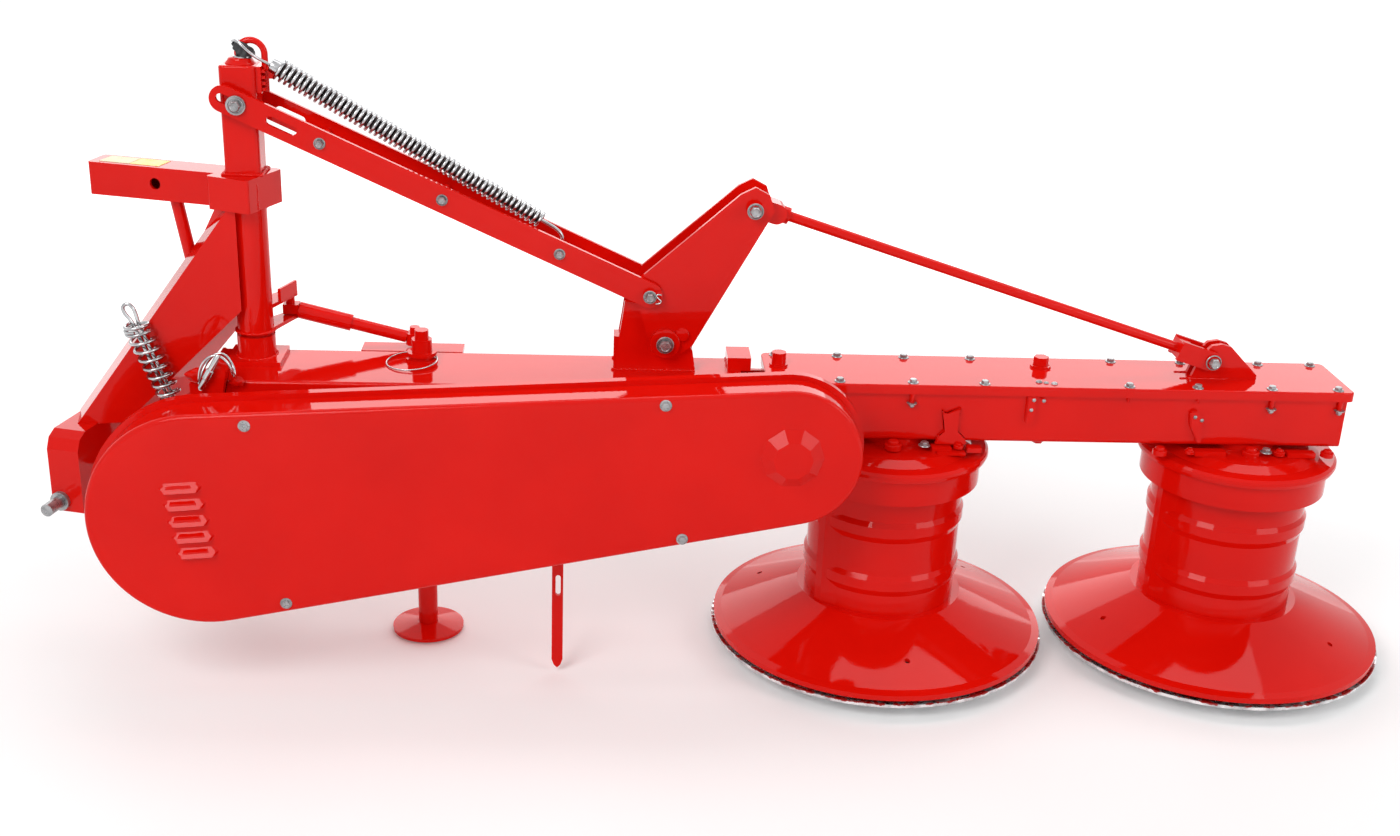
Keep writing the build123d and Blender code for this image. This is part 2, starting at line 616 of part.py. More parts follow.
for index, (dx, side_name) in enumerate(((0, "inner"), (DRUM_PITCH, "outer"))):
    # Fixed cap under the box: thick rolled rim and a plain band below it
    rim_z = CAP_TOP_Z - 16
    with BuildPart() as drum_cap:
        add(
            turned(dx, 0, [
                (SHAFT_R + RUN, BOX_BOTTOM_Z), (NECK_R, BOX_BOTTOM_Z), (NECK_R, CAP_TOP_Z + CAP_RISE),
                (CAP_R - 52, CAP_TOP_Z + CAP_RISE - 2), (CAP_R - 32, CAP_TOP_Z), (CAP_R - 6, CAP_TOP_Z),
                (CAP_R - 1, CAP_TOP_Z - 4), (CAP_R, CAP_TOP_Z - 9), (CAP_R - 2, rim_z + 1), (CAP_R - 6, rim_z),
                (SKIRT_R, rim_z - 2), (SKIRT_R, SKIRT_END_Z), (SKIRT_R - 5, SKIRT_END_Z),
                (SKIRT_R - 5, CAP_TOP_Z - 14), (SHAFT_R + RUN, CAP_TOP_Z - 14),
            ])
        )
    save(drum_cap, "cap_" + side_name)

    # Drum with two pressed beads, two crop vanes and the shaft into the box
    drum_top = CAP_TOP_Z - 22
    wall = []
    for bead_z in BEAD_Z:
        wall += [
            (DRUM_R, bead_z + 20), (DRUM_R + BEAD, bead_z + 11), (DRUM_R + BEAD, bead_z - 8),
            (DRUM_R, bead_z - 20),
        ]
    with BuildPart() as drum:
        add(
            turned(dx, 0, [
                (0, 470), (SHAFT_R, 470), (SHAFT_R, drum_top), (DRUM_R - 4, drum_top), (DRUM_R, drum_top - 4),
                *wall,
                (DRUM_R, DISC_TOP_Z), (DRUM_R - 4, DISC_TOP_Z), (DRUM_R - 4, drum_top - 8),
                (SHAFT_R + 16, drum_top - 8), (SHAFT_R + 16, 120), (25 + RUN, 120), (25 + RUN, 140), (0, 140),
            ])
        )
        for turn in (0, 180):
            start = VANE_START[index] + turn
            steps = ((-3, -1), (0, VANE_RISE), (6, VANE_RISE - 1), (VANE_SWEEP, -1))
            ridge = [
                (
                    dx + (DRUM_R + rise) * math.cos(math.radians(start + sweep)),
                    (DRUM_R + rise) * math.sin(math.radians(start + sweep)),
                )
                for sweep, rise in steps
            ]
            with BuildSketch(Plane.XY.offset(DISC_TOP_Z)):
                Polygon(*ridge, align=None)
            extrude(amount=drum_top - 4 - DISC_TOP_Z)
    save(drum, "drum_" + side_name)

    with BuildPart() as disc:
        add(
            turned(dx, 0, [
                (DRUM_R + 14, DISC_TOP_Z), (DRUM_R + 32, 104), (DISC_R - 60, 70), (DISC_R - 14, 50),
                (DISC_R, 46), (DISC_R, DISC_RIM_Z), (DISC_R - 4, DISC_RIM_Z), (DISC_R - 5, 41),
                (DISC_R - 16, 45), (DISC_R - 62, 64), (DRUM_R + 30, 98), (DRUM_R + 10, 106),
                (25 + RUN, 106), (25 + RUN, DISC_TOP_Z),
            ])
        )
        hole_r = DISC_R - 72
        holes = [math.radians(HOLE_TURN[index] + 120 * k) for k in range(3)]
        with Locations([(dx + hole_r * math.cos(h), hole_r * math.sin(h), 80) for h in holes]):
            Cylinder(5, 80, mode=Mode.SUBTRACT)
    save(disc, "disc_" + side_name)

    # Three knives on their pins below the disc
    with BuildPart() as knives:
        for turn in (50, 170, 290):
            a = math.radians(turn)
            hx = dx + (DISC_R - 42) * math.cos(a)
            hy = (DISC_R - 42) * math.sin(a)
            tx = hx - 84 * math.cos(a + 1.0)
            ty = hy - 84 * math.sin(a + 1.0)
            ang = math.degrees(math.atan2(ty - hy, tx - hx))
            with BuildSketch(Plane.XY.offset(38)):
                with Locations(Location(((hx + tx) / 2, (hy + ty) / 2, 0), (0, 0, ang))):
                    Rectangle(116, 46)
            extrude(amount=4)
            add(post_z(hx, hy, 9, 34, 58))
        add(disc.part, mode=Mode.SUBTRACT)
    save(knives, "knives_" + side_name)

    # Free lower saucer that glides on the ground
    with BuildPart() as saucer:
        add(
            turned(dx, 0, [
                (0, 0), (120, 0), (160, 3), (SAUCER_R - 12, 22), (SAUCER_R, 25), (SAUCER_R, 31),
                (SAUCER_R - 14, 29),
                (158, 9), (118, 6), (60, 6), (60, 30), (25, 34), (25, 118), (0, 118),
            ])
        )
    save(saucer, "saucer_" + side_name)

# Lift linkage: rocker of two plates with its cross tube
with BuildPart() as rocker:
    for y_back in (-29, 36.5):
        with BuildSketch(upright(y_back)):
            with BuildLine():
                Polyline((-466, 716), (-300, 866), (-275, 879), (-250, 866), (-240, 838), (-374, 590), (-400, 572),
                         (-440, 574), (-452, 600), (-474, 680), close=True)
            make_face()
        extrude(amount=7.5)
    add(block(-400, -346, -29, 29, 690, 700))
    add(pin_y(D_PIN[0], D_PIN[1], 12 + RUN, -60, 60), mode=Mode.SUBTRACT)
    add(pin_y(C_PIN[0], C_PIN[1], 10 + RUN, -60, 60), mode=Mode.SUBTRACT)
    add(pin_y(E_PIN[0], E_PIN[1], 10, -54, 54))
save(rocker, "rocker")

# Slotted link: two flat bars with spacers
with BuildPart() as slotted_link:
    d = math.hypot(E_PIN[0] - F_PIN[0], E_PIN[1] - F_PIN[1])
    ux = (E_PIN[0] - F_PIN[0]) / d
    uz = (E_PIN[1] - F_PIN[1]) / d
    ang = math.degrees(math.atan2(uz, ux))
    start = (F_PIN[0] - 23 * ux, F_PIN[1] - 23 * uz)
    for y0, y1 in ((-46, -38.5), (38.5, 46)):
        add(bar_between(start, E_PIN, 45, y0, y1))
    for s in (146, 366, 584):
        add(pin_y(F_PIN[0] + s * ux, F_PIN[1] + s * uz, 8, -38.5, 38.5))
    for s0, s1, w in ((-27, 1.5, 15), (60, 98, 15)):
        p = (F_PIN[0] + s0 * ux, F_PIN[1] + s0 * uz)
        q = (F_PIN[0] + s1 * ux, F_PIN[1] + s1 * uz)
        add(bar_between(p, q, w, -60, 60), mode=Mode.SUBTRACT)
    add(pin_y(E_PIN[0], E_PIN[1], 10 + RUN, -60, 60), mode=Mode.SUBTRACT)
save(slotted_link, "slotted_link")

# Lift rod with a fork at the rocker and an eye at the lugs
with BuildPart() as lift_rod:
    length = math.hypot(B_PIN[0] - C_PIN[0], B_PIN[1] - C_PIN[1])
    ux = (B_PIN[0] - C_PIN[0]) / length
    uz = (B_PIN[1] - C_PIN[1]) / length
    add(rod_between((C_PIN[0] + 40 * ux, 0, C_PIN[1] + 40 * uz), (B_PIN[0] - 60 * ux, 0, B_PIN[1] - 60 * uz), 9))
    add(rod_between((C_PIN[0] + 40 * ux, 0, C_PIN[1] + 40 * uz), (C_PIN[0] + 66 * ux, 0, C_PIN[1] + 66 * uz), 15))
    p = (C_PIN[0] + 42 * ux, C_PIN[1] + 42 * uz)
    add(bar_between(C_PIN, p, 36, -20, 20))
    add(pin_y(C_PIN[0], C_PIN[1], 10, -52, 52))
    # Fork that straddles the lugs, with the pin through it
    q = (B_PIN[0] - 66 * ux, B_PIN[1] - 66 * uz)
    r = (B_PIN[0] - 44 * ux, B_PIN[1] - 44 * uz)
    add(bar_between(q, r, 30, -25, 25, ends=False))
    for near in (-25, 18):
        add(bar_between(q, r, 36, near, near + 7, ends=False))
        add(bar_between(r, B_PIN, 36, near, near + 7))
    add(pin_y(B_PIN[0], B_PIN[1], 7.5, -34, 34))
    add(pin_y(B_PIN[0], B_PIN[1], 14, -28, -24))
    add(pin_y(B_PIN[0], B_PIN[1], 14, 24, 28))
save(lift_rod, "lift_rod")

# Relief spring from the post head to the link
with BuildPart() as relief_spring:
    add(rod_between((-1060, 0, 1038), (-636, 0, 801), 14))
    add(rod_between((EAR_X + 27.2, 0, 1046), (-1058, 0, 1037), 4))
    add(rod_between((-637, 0, 801.5), (-607, 0, 768), 3.5))
save(relief_spring, "relief_spring")

# Coil spring at the hitch arm
with BuildPart() as hitch_spring:
    add(rod_between((-1318, -94, 634), (-1267, -83.5, 512), 18))
save(hitch_spring, "hitch_spring")
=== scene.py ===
import math

import bmesh
import bpy
from bpy.props import FloatProperty, FloatVectorProperty, PointerProperty
from mathutils import Matrix, Vector, noise


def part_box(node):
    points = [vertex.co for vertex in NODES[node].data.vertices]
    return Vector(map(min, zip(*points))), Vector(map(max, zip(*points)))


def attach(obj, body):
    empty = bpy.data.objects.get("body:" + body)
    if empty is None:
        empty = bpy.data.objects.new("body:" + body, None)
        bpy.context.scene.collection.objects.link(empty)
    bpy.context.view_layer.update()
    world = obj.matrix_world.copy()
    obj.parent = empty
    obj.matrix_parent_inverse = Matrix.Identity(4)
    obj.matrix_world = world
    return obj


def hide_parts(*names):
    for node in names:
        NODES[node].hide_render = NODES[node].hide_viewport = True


bl_info = {
    "name": "Drum Mower Dressing",
    "version": (1, 0, 0),
    "blender": (4, 5, 0),
    "location": "View3D > Sidebar > Mower",
    "description": "Dresses the packed two-drum mower with paint, bolts, springs and welds",
    "category": "Object",
}

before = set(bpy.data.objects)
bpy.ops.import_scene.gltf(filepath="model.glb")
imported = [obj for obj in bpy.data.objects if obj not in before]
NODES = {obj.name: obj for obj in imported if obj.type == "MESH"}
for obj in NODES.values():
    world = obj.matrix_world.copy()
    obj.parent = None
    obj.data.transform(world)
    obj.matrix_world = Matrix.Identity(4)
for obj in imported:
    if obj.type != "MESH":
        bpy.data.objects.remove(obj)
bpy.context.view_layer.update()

# The source measures from the inner drum's axis, in millimetres
drum_lo, drum_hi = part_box("drum_inner")
ORIGIN = Vector(((drum_lo.x + drum_hi.x) / 2, (drum_lo.y + drum_hi.y) / 2, 0))

# Planes and places of the machine's own frame, in millimetres
POST_X = -1140
GUARD_FACE_Y = -262
COVER_TOP_Z = 541
BEAM_TOP_Z = 541
ARM_TOP_Z = 875.2
BOX_SIDE_Y = 80
# Roundness of the wires' section and steps along their line
WIRE_ROUNDNESS = 3
WIRE_STEPS = 6
# Sides of the coils' wire and steps in each turn
COIL_SIDES = 8
COIL_STEPS = 28
# Points closer than this, in metres, become one
MERGE = 1e-6


def at(x, y, z):
    """A point of the machine's own millimetre frame, in the row frame."""
    return ORIGIN + Vector((x, y, z)) / 1000


def link_object(name, mesh):
    """Put a mesh in the scene as an object at the origin."""
    obj = bpy.data.objects.new(name, mesh)
    bpy.context.scene.collection.objects.link(obj)
    return obj


def mesh_from(bm, name, material, smooth_angle=35):
    """Turn a bmesh into a named object with smooth shading up to an angle."""
    bmesh.ops.remove_doubles(bm, verts=bm.verts, dist=MERGE)
    bmesh.ops.recalc_face_normals(bm, faces=bm.faces)
    mesh = bpy.data.meshes.new(name)
    bm.to_mesh(mesh)
    bm.free()
    mesh.materials.append(material)
    mesh.shade_smooth()
    mesh.set_sharp_from_angle(angle=math.radians(smooth_angle))
    return link_object(name, mesh)


def plain_mesh(obj, name, material):
    """Bake an object's modifiers or curve into a plain mesh object of the given name."""
    graph = bpy.context.evaluated_depsgraph_get()
    mesh = bpy.data.meshes.new_from_object(obj.evaluated_get(graph))
    mesh.name = name
    mesh.transform(obj.matrix_world)
    bpy.data.objects.remove(obj)
    mesh.materials.clear()
    mesh.materials.append(material)
    return link_object(name, mesh)


# Geometry helpers


def skin_loops(bm, loops):
    """Skin a stack of loops of vertices and close both ends."""
    sides = len(loops[0])
    for low, high in zip(loops, loops[1:]):
        for k in range(sides):
            m = (k + 1) % sides
            bm.faces.new((low[k], low[m], high[m], high[k]))
    bm.faces.new(list(reversed(loops[0])))
    bm.faces.new(loops[-1])


def ring_stack(bm, rings, sides, frame_matrix=None):
    """Add a closed stack of rings, each given as radius and height, to a bmesh."""
    loops = []
    for radius, height in rings:
        loop = []
        for k in range(sides):
            a = 2 * math.pi * k / sides
            v = Vector((radius * math.cos(a), radius * math.sin(a), height))
            loop.append(bm.verts.new(frame_matrix @ v if frame_matrix else v))
        loops.append(loop)
    skin_loops(bm, loops)


def close_loops(bm, low, high):
    """Join two loops of vertices into a closed solid and return its faces."""
    made = [bm.faces.new(high), bm.faces.new(list(reversed(low)))]
    for k in range(len(low)):
        m = (k + 1) % len(low)
        made.append(bm.faces.new((low[k], low[m], high[m], high[k])))
    return made


def bevel_edges(bm, faces, width):
    """Round off every edge of the given faces by a width in millimetres."""
    edges = list(dict.fromkeys(edge for face in faces for edge in face.edges))
    bmesh.ops.bevel(
        bm, geom=edges, offset=width / 1000, segments=2, affect="EDGES", clamp_overlap=True
    )


def facing(place, axis):
    """Matrix that puts local Z along an axis at a place."""
    quat = Vector(axis).normalized().to_track_quat("Z", "Y")
    return Matrix.Translation(place) @ quat.to_matrix().to_4x4()


def group_tree(name, inputs):
    """A geometry node tree with one geometry output and named inputs."""
    tree = bpy.data.node_groups.new(name, "GeometryNodeTree")
    tree.interface.new_socket("Geometry", in_out="INPUT", socket_type="NodeSocketGeometry")
    for label, kind, default in inputs:
        socket = tree.interface.new_socket(label, in_out="INPUT", socket_type=kind)
        if default is not None:
            socket.default_value = default
    tree.interface.new_socket("Geometry", in_out="OUTPUT", socket_type="NodeSocketGeometry")
    start = tree.nodes.new("NodeGroupInput")
    end = tree.nodes.new("NodeGroupOutput")
    return tree, start, end


def finish_tree(tree, start, end, geometry, smooth=True):
    """Realize the instances, shade them and set the material at a tree's end."""
    realize = tree.nodes.new("GeometryNodeRealizeInstances")
    tree.links.new(geometry, realize.inputs[0])
    last = realize.outputs[0]
    if smooth:
        shade = tree.nodes.new("GeometryNodeSetShadeSmooth")
        tree.links.new(last, shade.inputs["Geometry"])
        last = shade.outputs[0]
    paint = tree.nodes.new("GeometryNodeSetMaterial")
    tree.links.new(last, paint.inputs["Geometry"])
    tree.links.new(start.outputs["Material"], paint.inputs["Material"])
    tree.links.new(paint.outputs[0], end.inputs[0])


def run_tree(tree, holder, values, name, material, smooth_angle=35):
    """Run a tree as a modifier on a holder object and keep its result as a plain mesh."""
    modifier = holder.modifiers.new("nodes", "NODES")
    modifier.node_group = tree
    for item in tree.interface.items_tree:
        if item.item_type == "SOCKET" and item.in_out == "INPUT" and item.name in values:
            modifier[item.identifier] = values[item.name]
    holder.update_tag()
    bpy.context.view_layer.update()
    obj = plain_mesh(holder, name, material)
    obj.data.shade_smooth()
    obj.data.set_sharp_from_angle(angle=math.radians(smooth_angle))
    return obj


def copies_tree():
    """Tree that sets a part on every point, leaning and scaled by the point's attributes."""
    if "set parts on points" in bpy.data.node_groups:
        return bpy.data.node_groups["set parts on points"]
    tree, start, end = group_tree(
        "set parts on points",
        (
            ("Part", "NodeSocketObject", None),
            ("Size", "NodeSocketFloat", 1.0),
            ("Material", "NodeSocketMaterial", None),
        ),
    )
    info = tree.nodes.new("GeometryNodeObjectInfo")
    tree.links.new(start.outputs["Part"], info.inputs["Object"])
    lean = tree.nodes.new("GeometryNodeInputNamedAttribute")
    lean.data_type = "FLOAT_VECTOR"
    lean.inputs["Name"].default_value = "lean"
    grow = tree.nodes.new("GeometryNodeInputNamedAttribute")
    grow.data_type = "FLOAT"
    grow.inputs["Name"].default_value = "grow"
    align = tree.nodes.new("FunctionNodeAlignRotationToVector")
    align.axis = "Z"
    tree.links.new(lean.outputs["Attribute"], align.inputs["Vector"])
    scale = tree.nodes.new("ShaderNodeMath")
    scale.operation = "MULTIPLY"
    tree.links.new(grow.outputs["Attribute"], scale.inputs[0])
    tree.links.new(start.outputs["Size"], scale.inputs[1])
    place = tree.nodes.new("GeometryNodeInstanceOnPoints")
    tree.links.new(start.outputs["Geometry"], place.inputs["Points"])
    tree.links.new(info.outputs["Geometry"], place.inputs["Instance"])
    tree.links.new(align.outputs["Rotation"], place.inputs["Rotation"])
    tree.links.new(scale.outputs[0], place.inputs["Scale"])
    finish_tree(tree, start, end, place.outputs[0], smooth=False)
    return tree


def copies(name, part_maker, table, material, body, size=1.0):
    """Set one small part at each row of a table of place, axis and size, as one mesh."""
    bm = bmesh.new()
    part_maker(bm)
    part = mesh_from(bm, name + "_part", material)
    points = bpy.data.meshes.new(name + "_points")
    points.from_pydata([at(*row[0]) for row in table], [], [])
    points.attributes.new("lean", "FLOAT_VECTOR", "POINT")
    points.attributes.new("grow", "FLOAT", "POINT")
    for k, (_, axis, width) in enumerate(table):
        points.attributes["lean"].data[k].vector = axis
        points.attributes["grow"].data[k].value = width / 1000
    holder = link_object(name + "_holder", points)
    obj = run_tree(
        copies_tree(), holder, {"Part": part, "Size": size, "Material": material}, name, material
    )
    bpy.data.objects.remove(part)
    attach(obj, body)


def coil_tree():
    """Tree that winds a round wire into a coil along Z."""
    if "coil" in bpy.data.node_groups:
        return bpy.data.node_groups["coil"]
    tree, start, end = group_tree(
        "coil",
        (
            ("Turns", "NodeSocketFloat", 8.0),
            ("Start radius", "NodeSocketFloat", 0.01),
            ("End radius", "NodeSocketFloat", 0.01),
            ("Length", "NodeSocketFloat", 0.1),
            ("Wire radius", "NodeSocketFloat", 0.002),
            ("Material", "NodeSocketMaterial", None),
        ),
    )
    spiral = tree.nodes.new("GeometryNodeCurveSpiral")
    spiral.inputs["Resolution"].default_value = COIL_STEPS
    tree.links.new(start.outputs["Turns"], spiral.inputs["Rotations"])
    tree.links.new(start.outputs["Start radius"], spiral.inputs["Start Radius"])
    tree.links.new(start.outputs["End radius"], spiral.inputs["End Radius"])
    tree.links.new(start.outputs["Length"], spiral.inputs["Height"])
    ring = tree.nodes.new("GeometryNodeCurvePrimitiveCircle")
    ring.inputs["Resolution"].default_value = COIL_SIDES
    tree.links.new(start.outputs["Wire radius"], ring.inputs["Radius"])
    sweep = tree.nodes.new("GeometryNodeCurveToMesh")
    sweep.inputs["Fill Caps"].default_value = True
    tree.links.new(spiral.outputs[0], sweep.inputs["Curve"])
    tree.links.new(ring.outputs[0], sweep.inputs["Profile Curve"])
    finish_tree(tree, start, end, sweep.outputs[0])
    return tree


def coil(name, foot, head, turns, radii, wire_r, material):
    """Coil spring wound from foot to head, both in millimetres."""
    run = at(*head) - at(*foot)
    holder = link_object(name + "_holder", bpy.data.meshes.new(name + "_seed"))
    values = {
        "Turns": float(turns),
        "Start radius": radii[0] / 1000,
        "End radius": radii[1] / 1000,
        "Length": run.length,
        "Wire radius": wire_r / 1000,
        "Material": material,
    }
    obj = run_tree(coil_tree(), holder, values, name, material, smooth_angle=80)
    obj.data.transform(facing(at(*foot), run))
    return obj


def wire(name, points, radius, material, cyclic=False):
    """Round wire along a smooth line through points in millimetres, as a plain mesh."""
    curve = bpy.data.curves.new(name + "_line", "CURVE")
    curve.dimensions = "3D"
    spline = curve.splines.new("NURBS")
    spline.points.add(len(points) - 1)
    for k, point in enumerate(points):
        spline.points[k].co = (*at(*point), 1)
    spline.order_u = 3
    spline.use_endpoint_u = not cyclic
    spline.use_cyclic_u = cyclic
    spline.resolution_u = WIRE_STEPS
    curve.bevel_depth = radius / 1000
    curve.bevel_resolution = WIRE_ROUNDNESS
    curve.use_fill_caps = True
    holder = bpy.data.objects.new(name + "_line", curve)
    bpy.context.scene.collection.objects.link(holder)
    bpy.context.view_layer.update()
    obj = plain_mesh(holder, name, material)
    obj.data.shade_smooth()
    obj.data.set_sharp_from_angle(angle=math.radians(60))
    return obj


def joined(name, objs):
    """Join plain meshes into one object, keeping their material slots."""
    bm = bmesh.new()
    mesh = bpy.data.meshes.new(name)
    for obj in objs:
        offset = len(mesh.materials)
        for material in obj.data.materials:
            mesh.materials.append(material)
        first = len(bm.faces)
        bm.from_mesh(obj.data)
        bm.faces.ensure_lookup_table()
        for face in bm.faces[first:]:
            face.material_index += offset
    bm.to_mesh(mesh)
    bm.free()
    for obj in objs:
        bpy.data.objects.remove(obj)
    return link_object(name, mesh)


def weld_tree():
    """Tree that lays overlapping weld ripples along the lines it is given."""
    if "weld bead" in bpy.data.node_groups:
        return bpy.data.node_groups["weld bead"]
    tree, start, end = group_tree(
        "weld bead",
        (
            ("Spacing", "NodeSocketFloat", 0.004),
            ("Bead size", "NodeSocketFloat", 0.004),
            ("Seed", "NodeSocketInt", 3),
            ("Material", "NodeSocketMaterial", None),
        ),
    )
    line = tree.nodes.new("GeometryNodeMeshToCurve")
    tree.links.new(start.outputs["Geometry"], line.inputs[0])
    steps = tree.nodes.new("GeometryNodeResampleCurve")
    steps.mode = "LENGTH"
    tree.links.new(line.outputs[0], steps.inputs["Curve"])
    tree.links.new(start.outputs["Spacing"], steps.inputs["Length"])
    drop = tree.nodes.new("GeometryNodeMeshIcoSphere")
    drop.inputs["Subdivisions"].default_value = 2
    tree.links.new(start.outputs["Bead size"], drop.inputs["Radius"])
    vary = tree.nodes.new("FunctionNodeRandomValue")
    vary.data_type = "FLOAT_VECTOR"
    vary.inputs["Min"].default_value = (0.8, 0.8, 0.75)
    vary.inputs["Max"].default_value = (1.25, 1.25, 1.1)
    tree.links.new(start.outputs["Seed"], vary.inputs["Seed"])
    place = tree.nodes.new("GeometryNodeInstanceOnPoints")
    tree.links.new(steps.outputs[0], place.inputs["Points"])
    tree.links.new(drop.outputs[0], place.inputs["Instance"])
    tree.links.new(vary.outputs["Value"], place.inputs["Scale"])
    finish_tree(tree, start, end, place.outputs[0])
    return tree


def welds(name, lines, size, body, seed):
    """Weld beads along several lines of points in millimetres, as one mesh."""
    verts = []
    edges = []
    for points in lines:
        first = len(verts)
        verts += [at(*point) for point in points]
        edges += [(first + k, first + k + 1) for k in range(len(points) - 1)]
    mesh = bpy.data.meshes.new(name + "_lines")
    mesh.from_pydata(verts, edges, [])
    holder = link_object(name + "_holder", mesh)
    material = material_of("red enamel")
    values = {
        "Spacing": size * 1.1 / 1000,
        "Bead size": size / 1000,
        "Seed": seed,
        "Material": material,
    }
    obj = run_tree(weld_tree(), holder, values, name, material, smooth_angle=70)
    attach(obj, body)


def circle_points(centre, radius, steps=24):
    """Points of a level circle round a centre, in millimetres."""
    x, y, z = centre
    turns = [math.radians(360 * k / steps) for k in range(steps + 1)]
    return [(x + radius * math.cos(a), y + radius * math.sin(a), z) for a in turns]


# The hitch frame stands swung round the post by this angle
HITCH_TURN = math.radians(15)


def hitch(out, near, z):
    """Point of the hitch frame, given out along the arm and to its near side."""
    c, t = math.cos(HITCH_TURN), math.sin(HITCH_TURN)
    return (POST_X - out * c - near * t, out * t - near * c, z)


def prism(bm, outline, near, far, bevel=0.8):
    """Add a plate of an outline of x, z points between two depths, all in millimetres."""
    front = [bm.verts.new(at(x, near, z)) for x, z in outline]
    back = [bm.verts.new(at(x, far, z)) for x, z in outline]
    bevel_edges(bm, close_loops(bm, back, front), bevel)


def slab(bm, lo, hi, bevel=0.8):
    """Add a bevelled block between two corners in millimetres."""
    outline = ((lo[0], lo[2]), (hi[0], lo[2]), (hi[0], hi[2]), (lo[0], hi[2]))
    prism(bm, outline, lo[1], hi[1], bevel)


def wall(bm, first, last, thick, low, high):
    """Add an upright plate along a line seen from above, all in millimetres."""
    along = Vector((last[0] - first[0], last[1] - first[1], 0)).normalized()
    side = Vector((-along.y, along.x, 0)) * thick / 2
    start, end = Vector((*first, 0)), Vector((*last, 0))
    feet = [start + side, start - side, end - side, end + side]
    base = [bm.verts.new(at(v.x, v.y, low)) for v in feet]
    top = [bm.verts.new(at(v.x, v.y, high)) for v in feet]
    bevel_edges(bm, close_loops(bm, base, top), 0.8)


def lump(bm, centre, size, seed):
    """Add a crumpled lump of weld metal, sized along x, y and z in millimetres."""
    made = bmesh.ops.create_icosphere(bm, subdivisions=3, radius=1.0)
    shift = Vector((seed * 3.7, seed * 1.3, seed * 2.1))
    for vert in made["verts"]:
        folds = 1 + 0.35 * noise.noise(vert.co * 1.7 + shift)
        folds += 0.18 * noise.noise(vert.co * 4.1 - shift)
        along = vert.co * folds
        vert.co = at(*(c + a * w for c, a, w in zip(centre, along, size)))


# Small parts, one unit across the hexagon's flats, as radius and height of their rings
HEX_R = 0.577
STUD_TALL = 2.15


def flange_screw(bm):
    """Hexagon screw with a washer flange and a dished top."""
    ring_stack(bm, ((0.0001, 0), (0.80, 0), (0.82, 0.05), (0.78, 0.12), (0.60, 0.17)), 24)
    ring_stack(bm, ((HEX_R, 0.16), (HEX_R, 0.50), (0.50, 0.585), (0.30, 0.60)), 6)


def hex_bolt(bm):
    """Hexagon bolt head on a round washer."""
    washer = ((0.79, 0), (0.82, 0.03), (0.82, 0.12), (0.78, 0.16), (0.73, 0.16), (0.69, 0.02))
    ring_stack(bm, washer, 28)
    ring_stack(bm, ((0.45, 0.01), (0.45, 0.20), (HEX_R, 0.205), (HEX_R, 0.56), (0.47, 0.70)), 6)
    ring_stack(bm, ((0.46, 0.67), (0.44, 0.74), (0.38, 0.74), (0.31, 0.68)), 18)


def nut_and_thread(bm):
    """Hexagon nut on a washer with the screw's end standing out."""
    ring_stack(bm, ((0.90, 0), (0.92, 0.03), (0.92, 0.12), (0.90, 0.15)), 28)
    ring_stack(bm, ((0.50, 0.15), (HEX_R, 0.20), (HEX_R, 0.62), (0.50, 0.68)), 6)
    thread = (
        (0.33, 0.66), (0.33, 0.74), (0.30, 0.77), (0.33, 0.80), (0.30, 0.83), (0.33, 0.86),
        (0.30, 0.92),
    )
    ring_stack(bm, thread, 18)


def round_rivet(bm):
    """Low domed head."""
    ring_stack(bm, ((0.5, 0), (0.5, 0.08), (0.44, 0.2), (0.30, 0.29), (0.12, 0.33)), 18)


def flange_boss(bm):
    """Round boss with a low flanged head on it."""
    ring_stack(bm, ((0.60, -0.35), (0.60, 0.0), (0.56, 0.05), (0.40, 0.07)), 24)
    ring_stack(bm, ((0.40, 0.06), (0.40, 0.20), (0.33, 0.29), (0.15, 0.33)), 16)


def stud_boss(bm):
    """Short painted stud end with a chamfered tip."""
    ring_stack(bm, ((0.62, 0), (0.62, 0.25), (0.5, 0.32), (0.5, 2.0), (0.42, STUD_TALL)), 18)


# Slotted link: its pins at the post and at the rocker, and its bolts along it
LINK_F = (POST_X, 997)
LINK_E = (-451, 685)
LINK_BOLTS = (146, 366, 584)
# Pins of the rocker and of the lift rod's two ends, and the stud on the rocker, as x and z
ROCKER_PIVOT = (-422, 597)
ROCKER_STUD = (-392, 612)
ROD_HEAD = (-275, 841)
ROD_FOOT = (572, 576)


def on_pin(pin, y, axis, width):
    """Row of a table of copies at a pin or hole, given as x and z."""
    return ((pin[0], y, pin[1]), axis, width)


def on_link(s):
    """Point of the slotted link's line at s millimetres from its post pin."""
    length = math.hypot(LINK_E[0] - LINK_F[0], LINK_E[1] - LINK_F[1])
    ux, uz = (LINK_E[0] - LINK_F[0]) / length, (LINK_E[1] - LINK_F[1]) / length
    return (LINK_F[0] + s * ux, LINK_F[1] + s * uz)


# Materials


def new_material(name):
    """An empty node material with its shader, returned with a small node maker."""
    material = bpy.data.materials.new(name)
    material.use_nodes = True
    tree = material.node_tree
    shader = tree.nodes["Principled BSDF"]

    def make(kind, **values):
        node = tree.nodes.new(kind)
        for key, value in values.items():
            if key in node.inputs:
                node.inputs[key].default_value = value
            else:
                setattr(node, key, value)
        return node

    return material, tree, shader, make


def noise_ramp(tree, make, coords, scale, detail, stops):
    """Object noise through a colour ramp."""
    clouds = make("ShaderNodeTexNoise", Scale=scale, Detail=detail, Roughness=0.55)
    tree.links.new(coords, clouds.inputs["Vector"])
    ramp = make("ShaderNodeValToRGB")
    ramp.color_ramp.elements[0].position = stops[0][0]
    ramp.color_ramp.elements[0].color = (*stops[0][1], 1)
    ramp.color_ramp.elements[1].position = stops[1][0]
    ramp.color_ramp.elements[1].color = (*stops[1][1], 1)
    tree.links.new(clouds.outputs["Fac"], ramp.inputs["Fac"])
    return ramp.outputs["Color"]


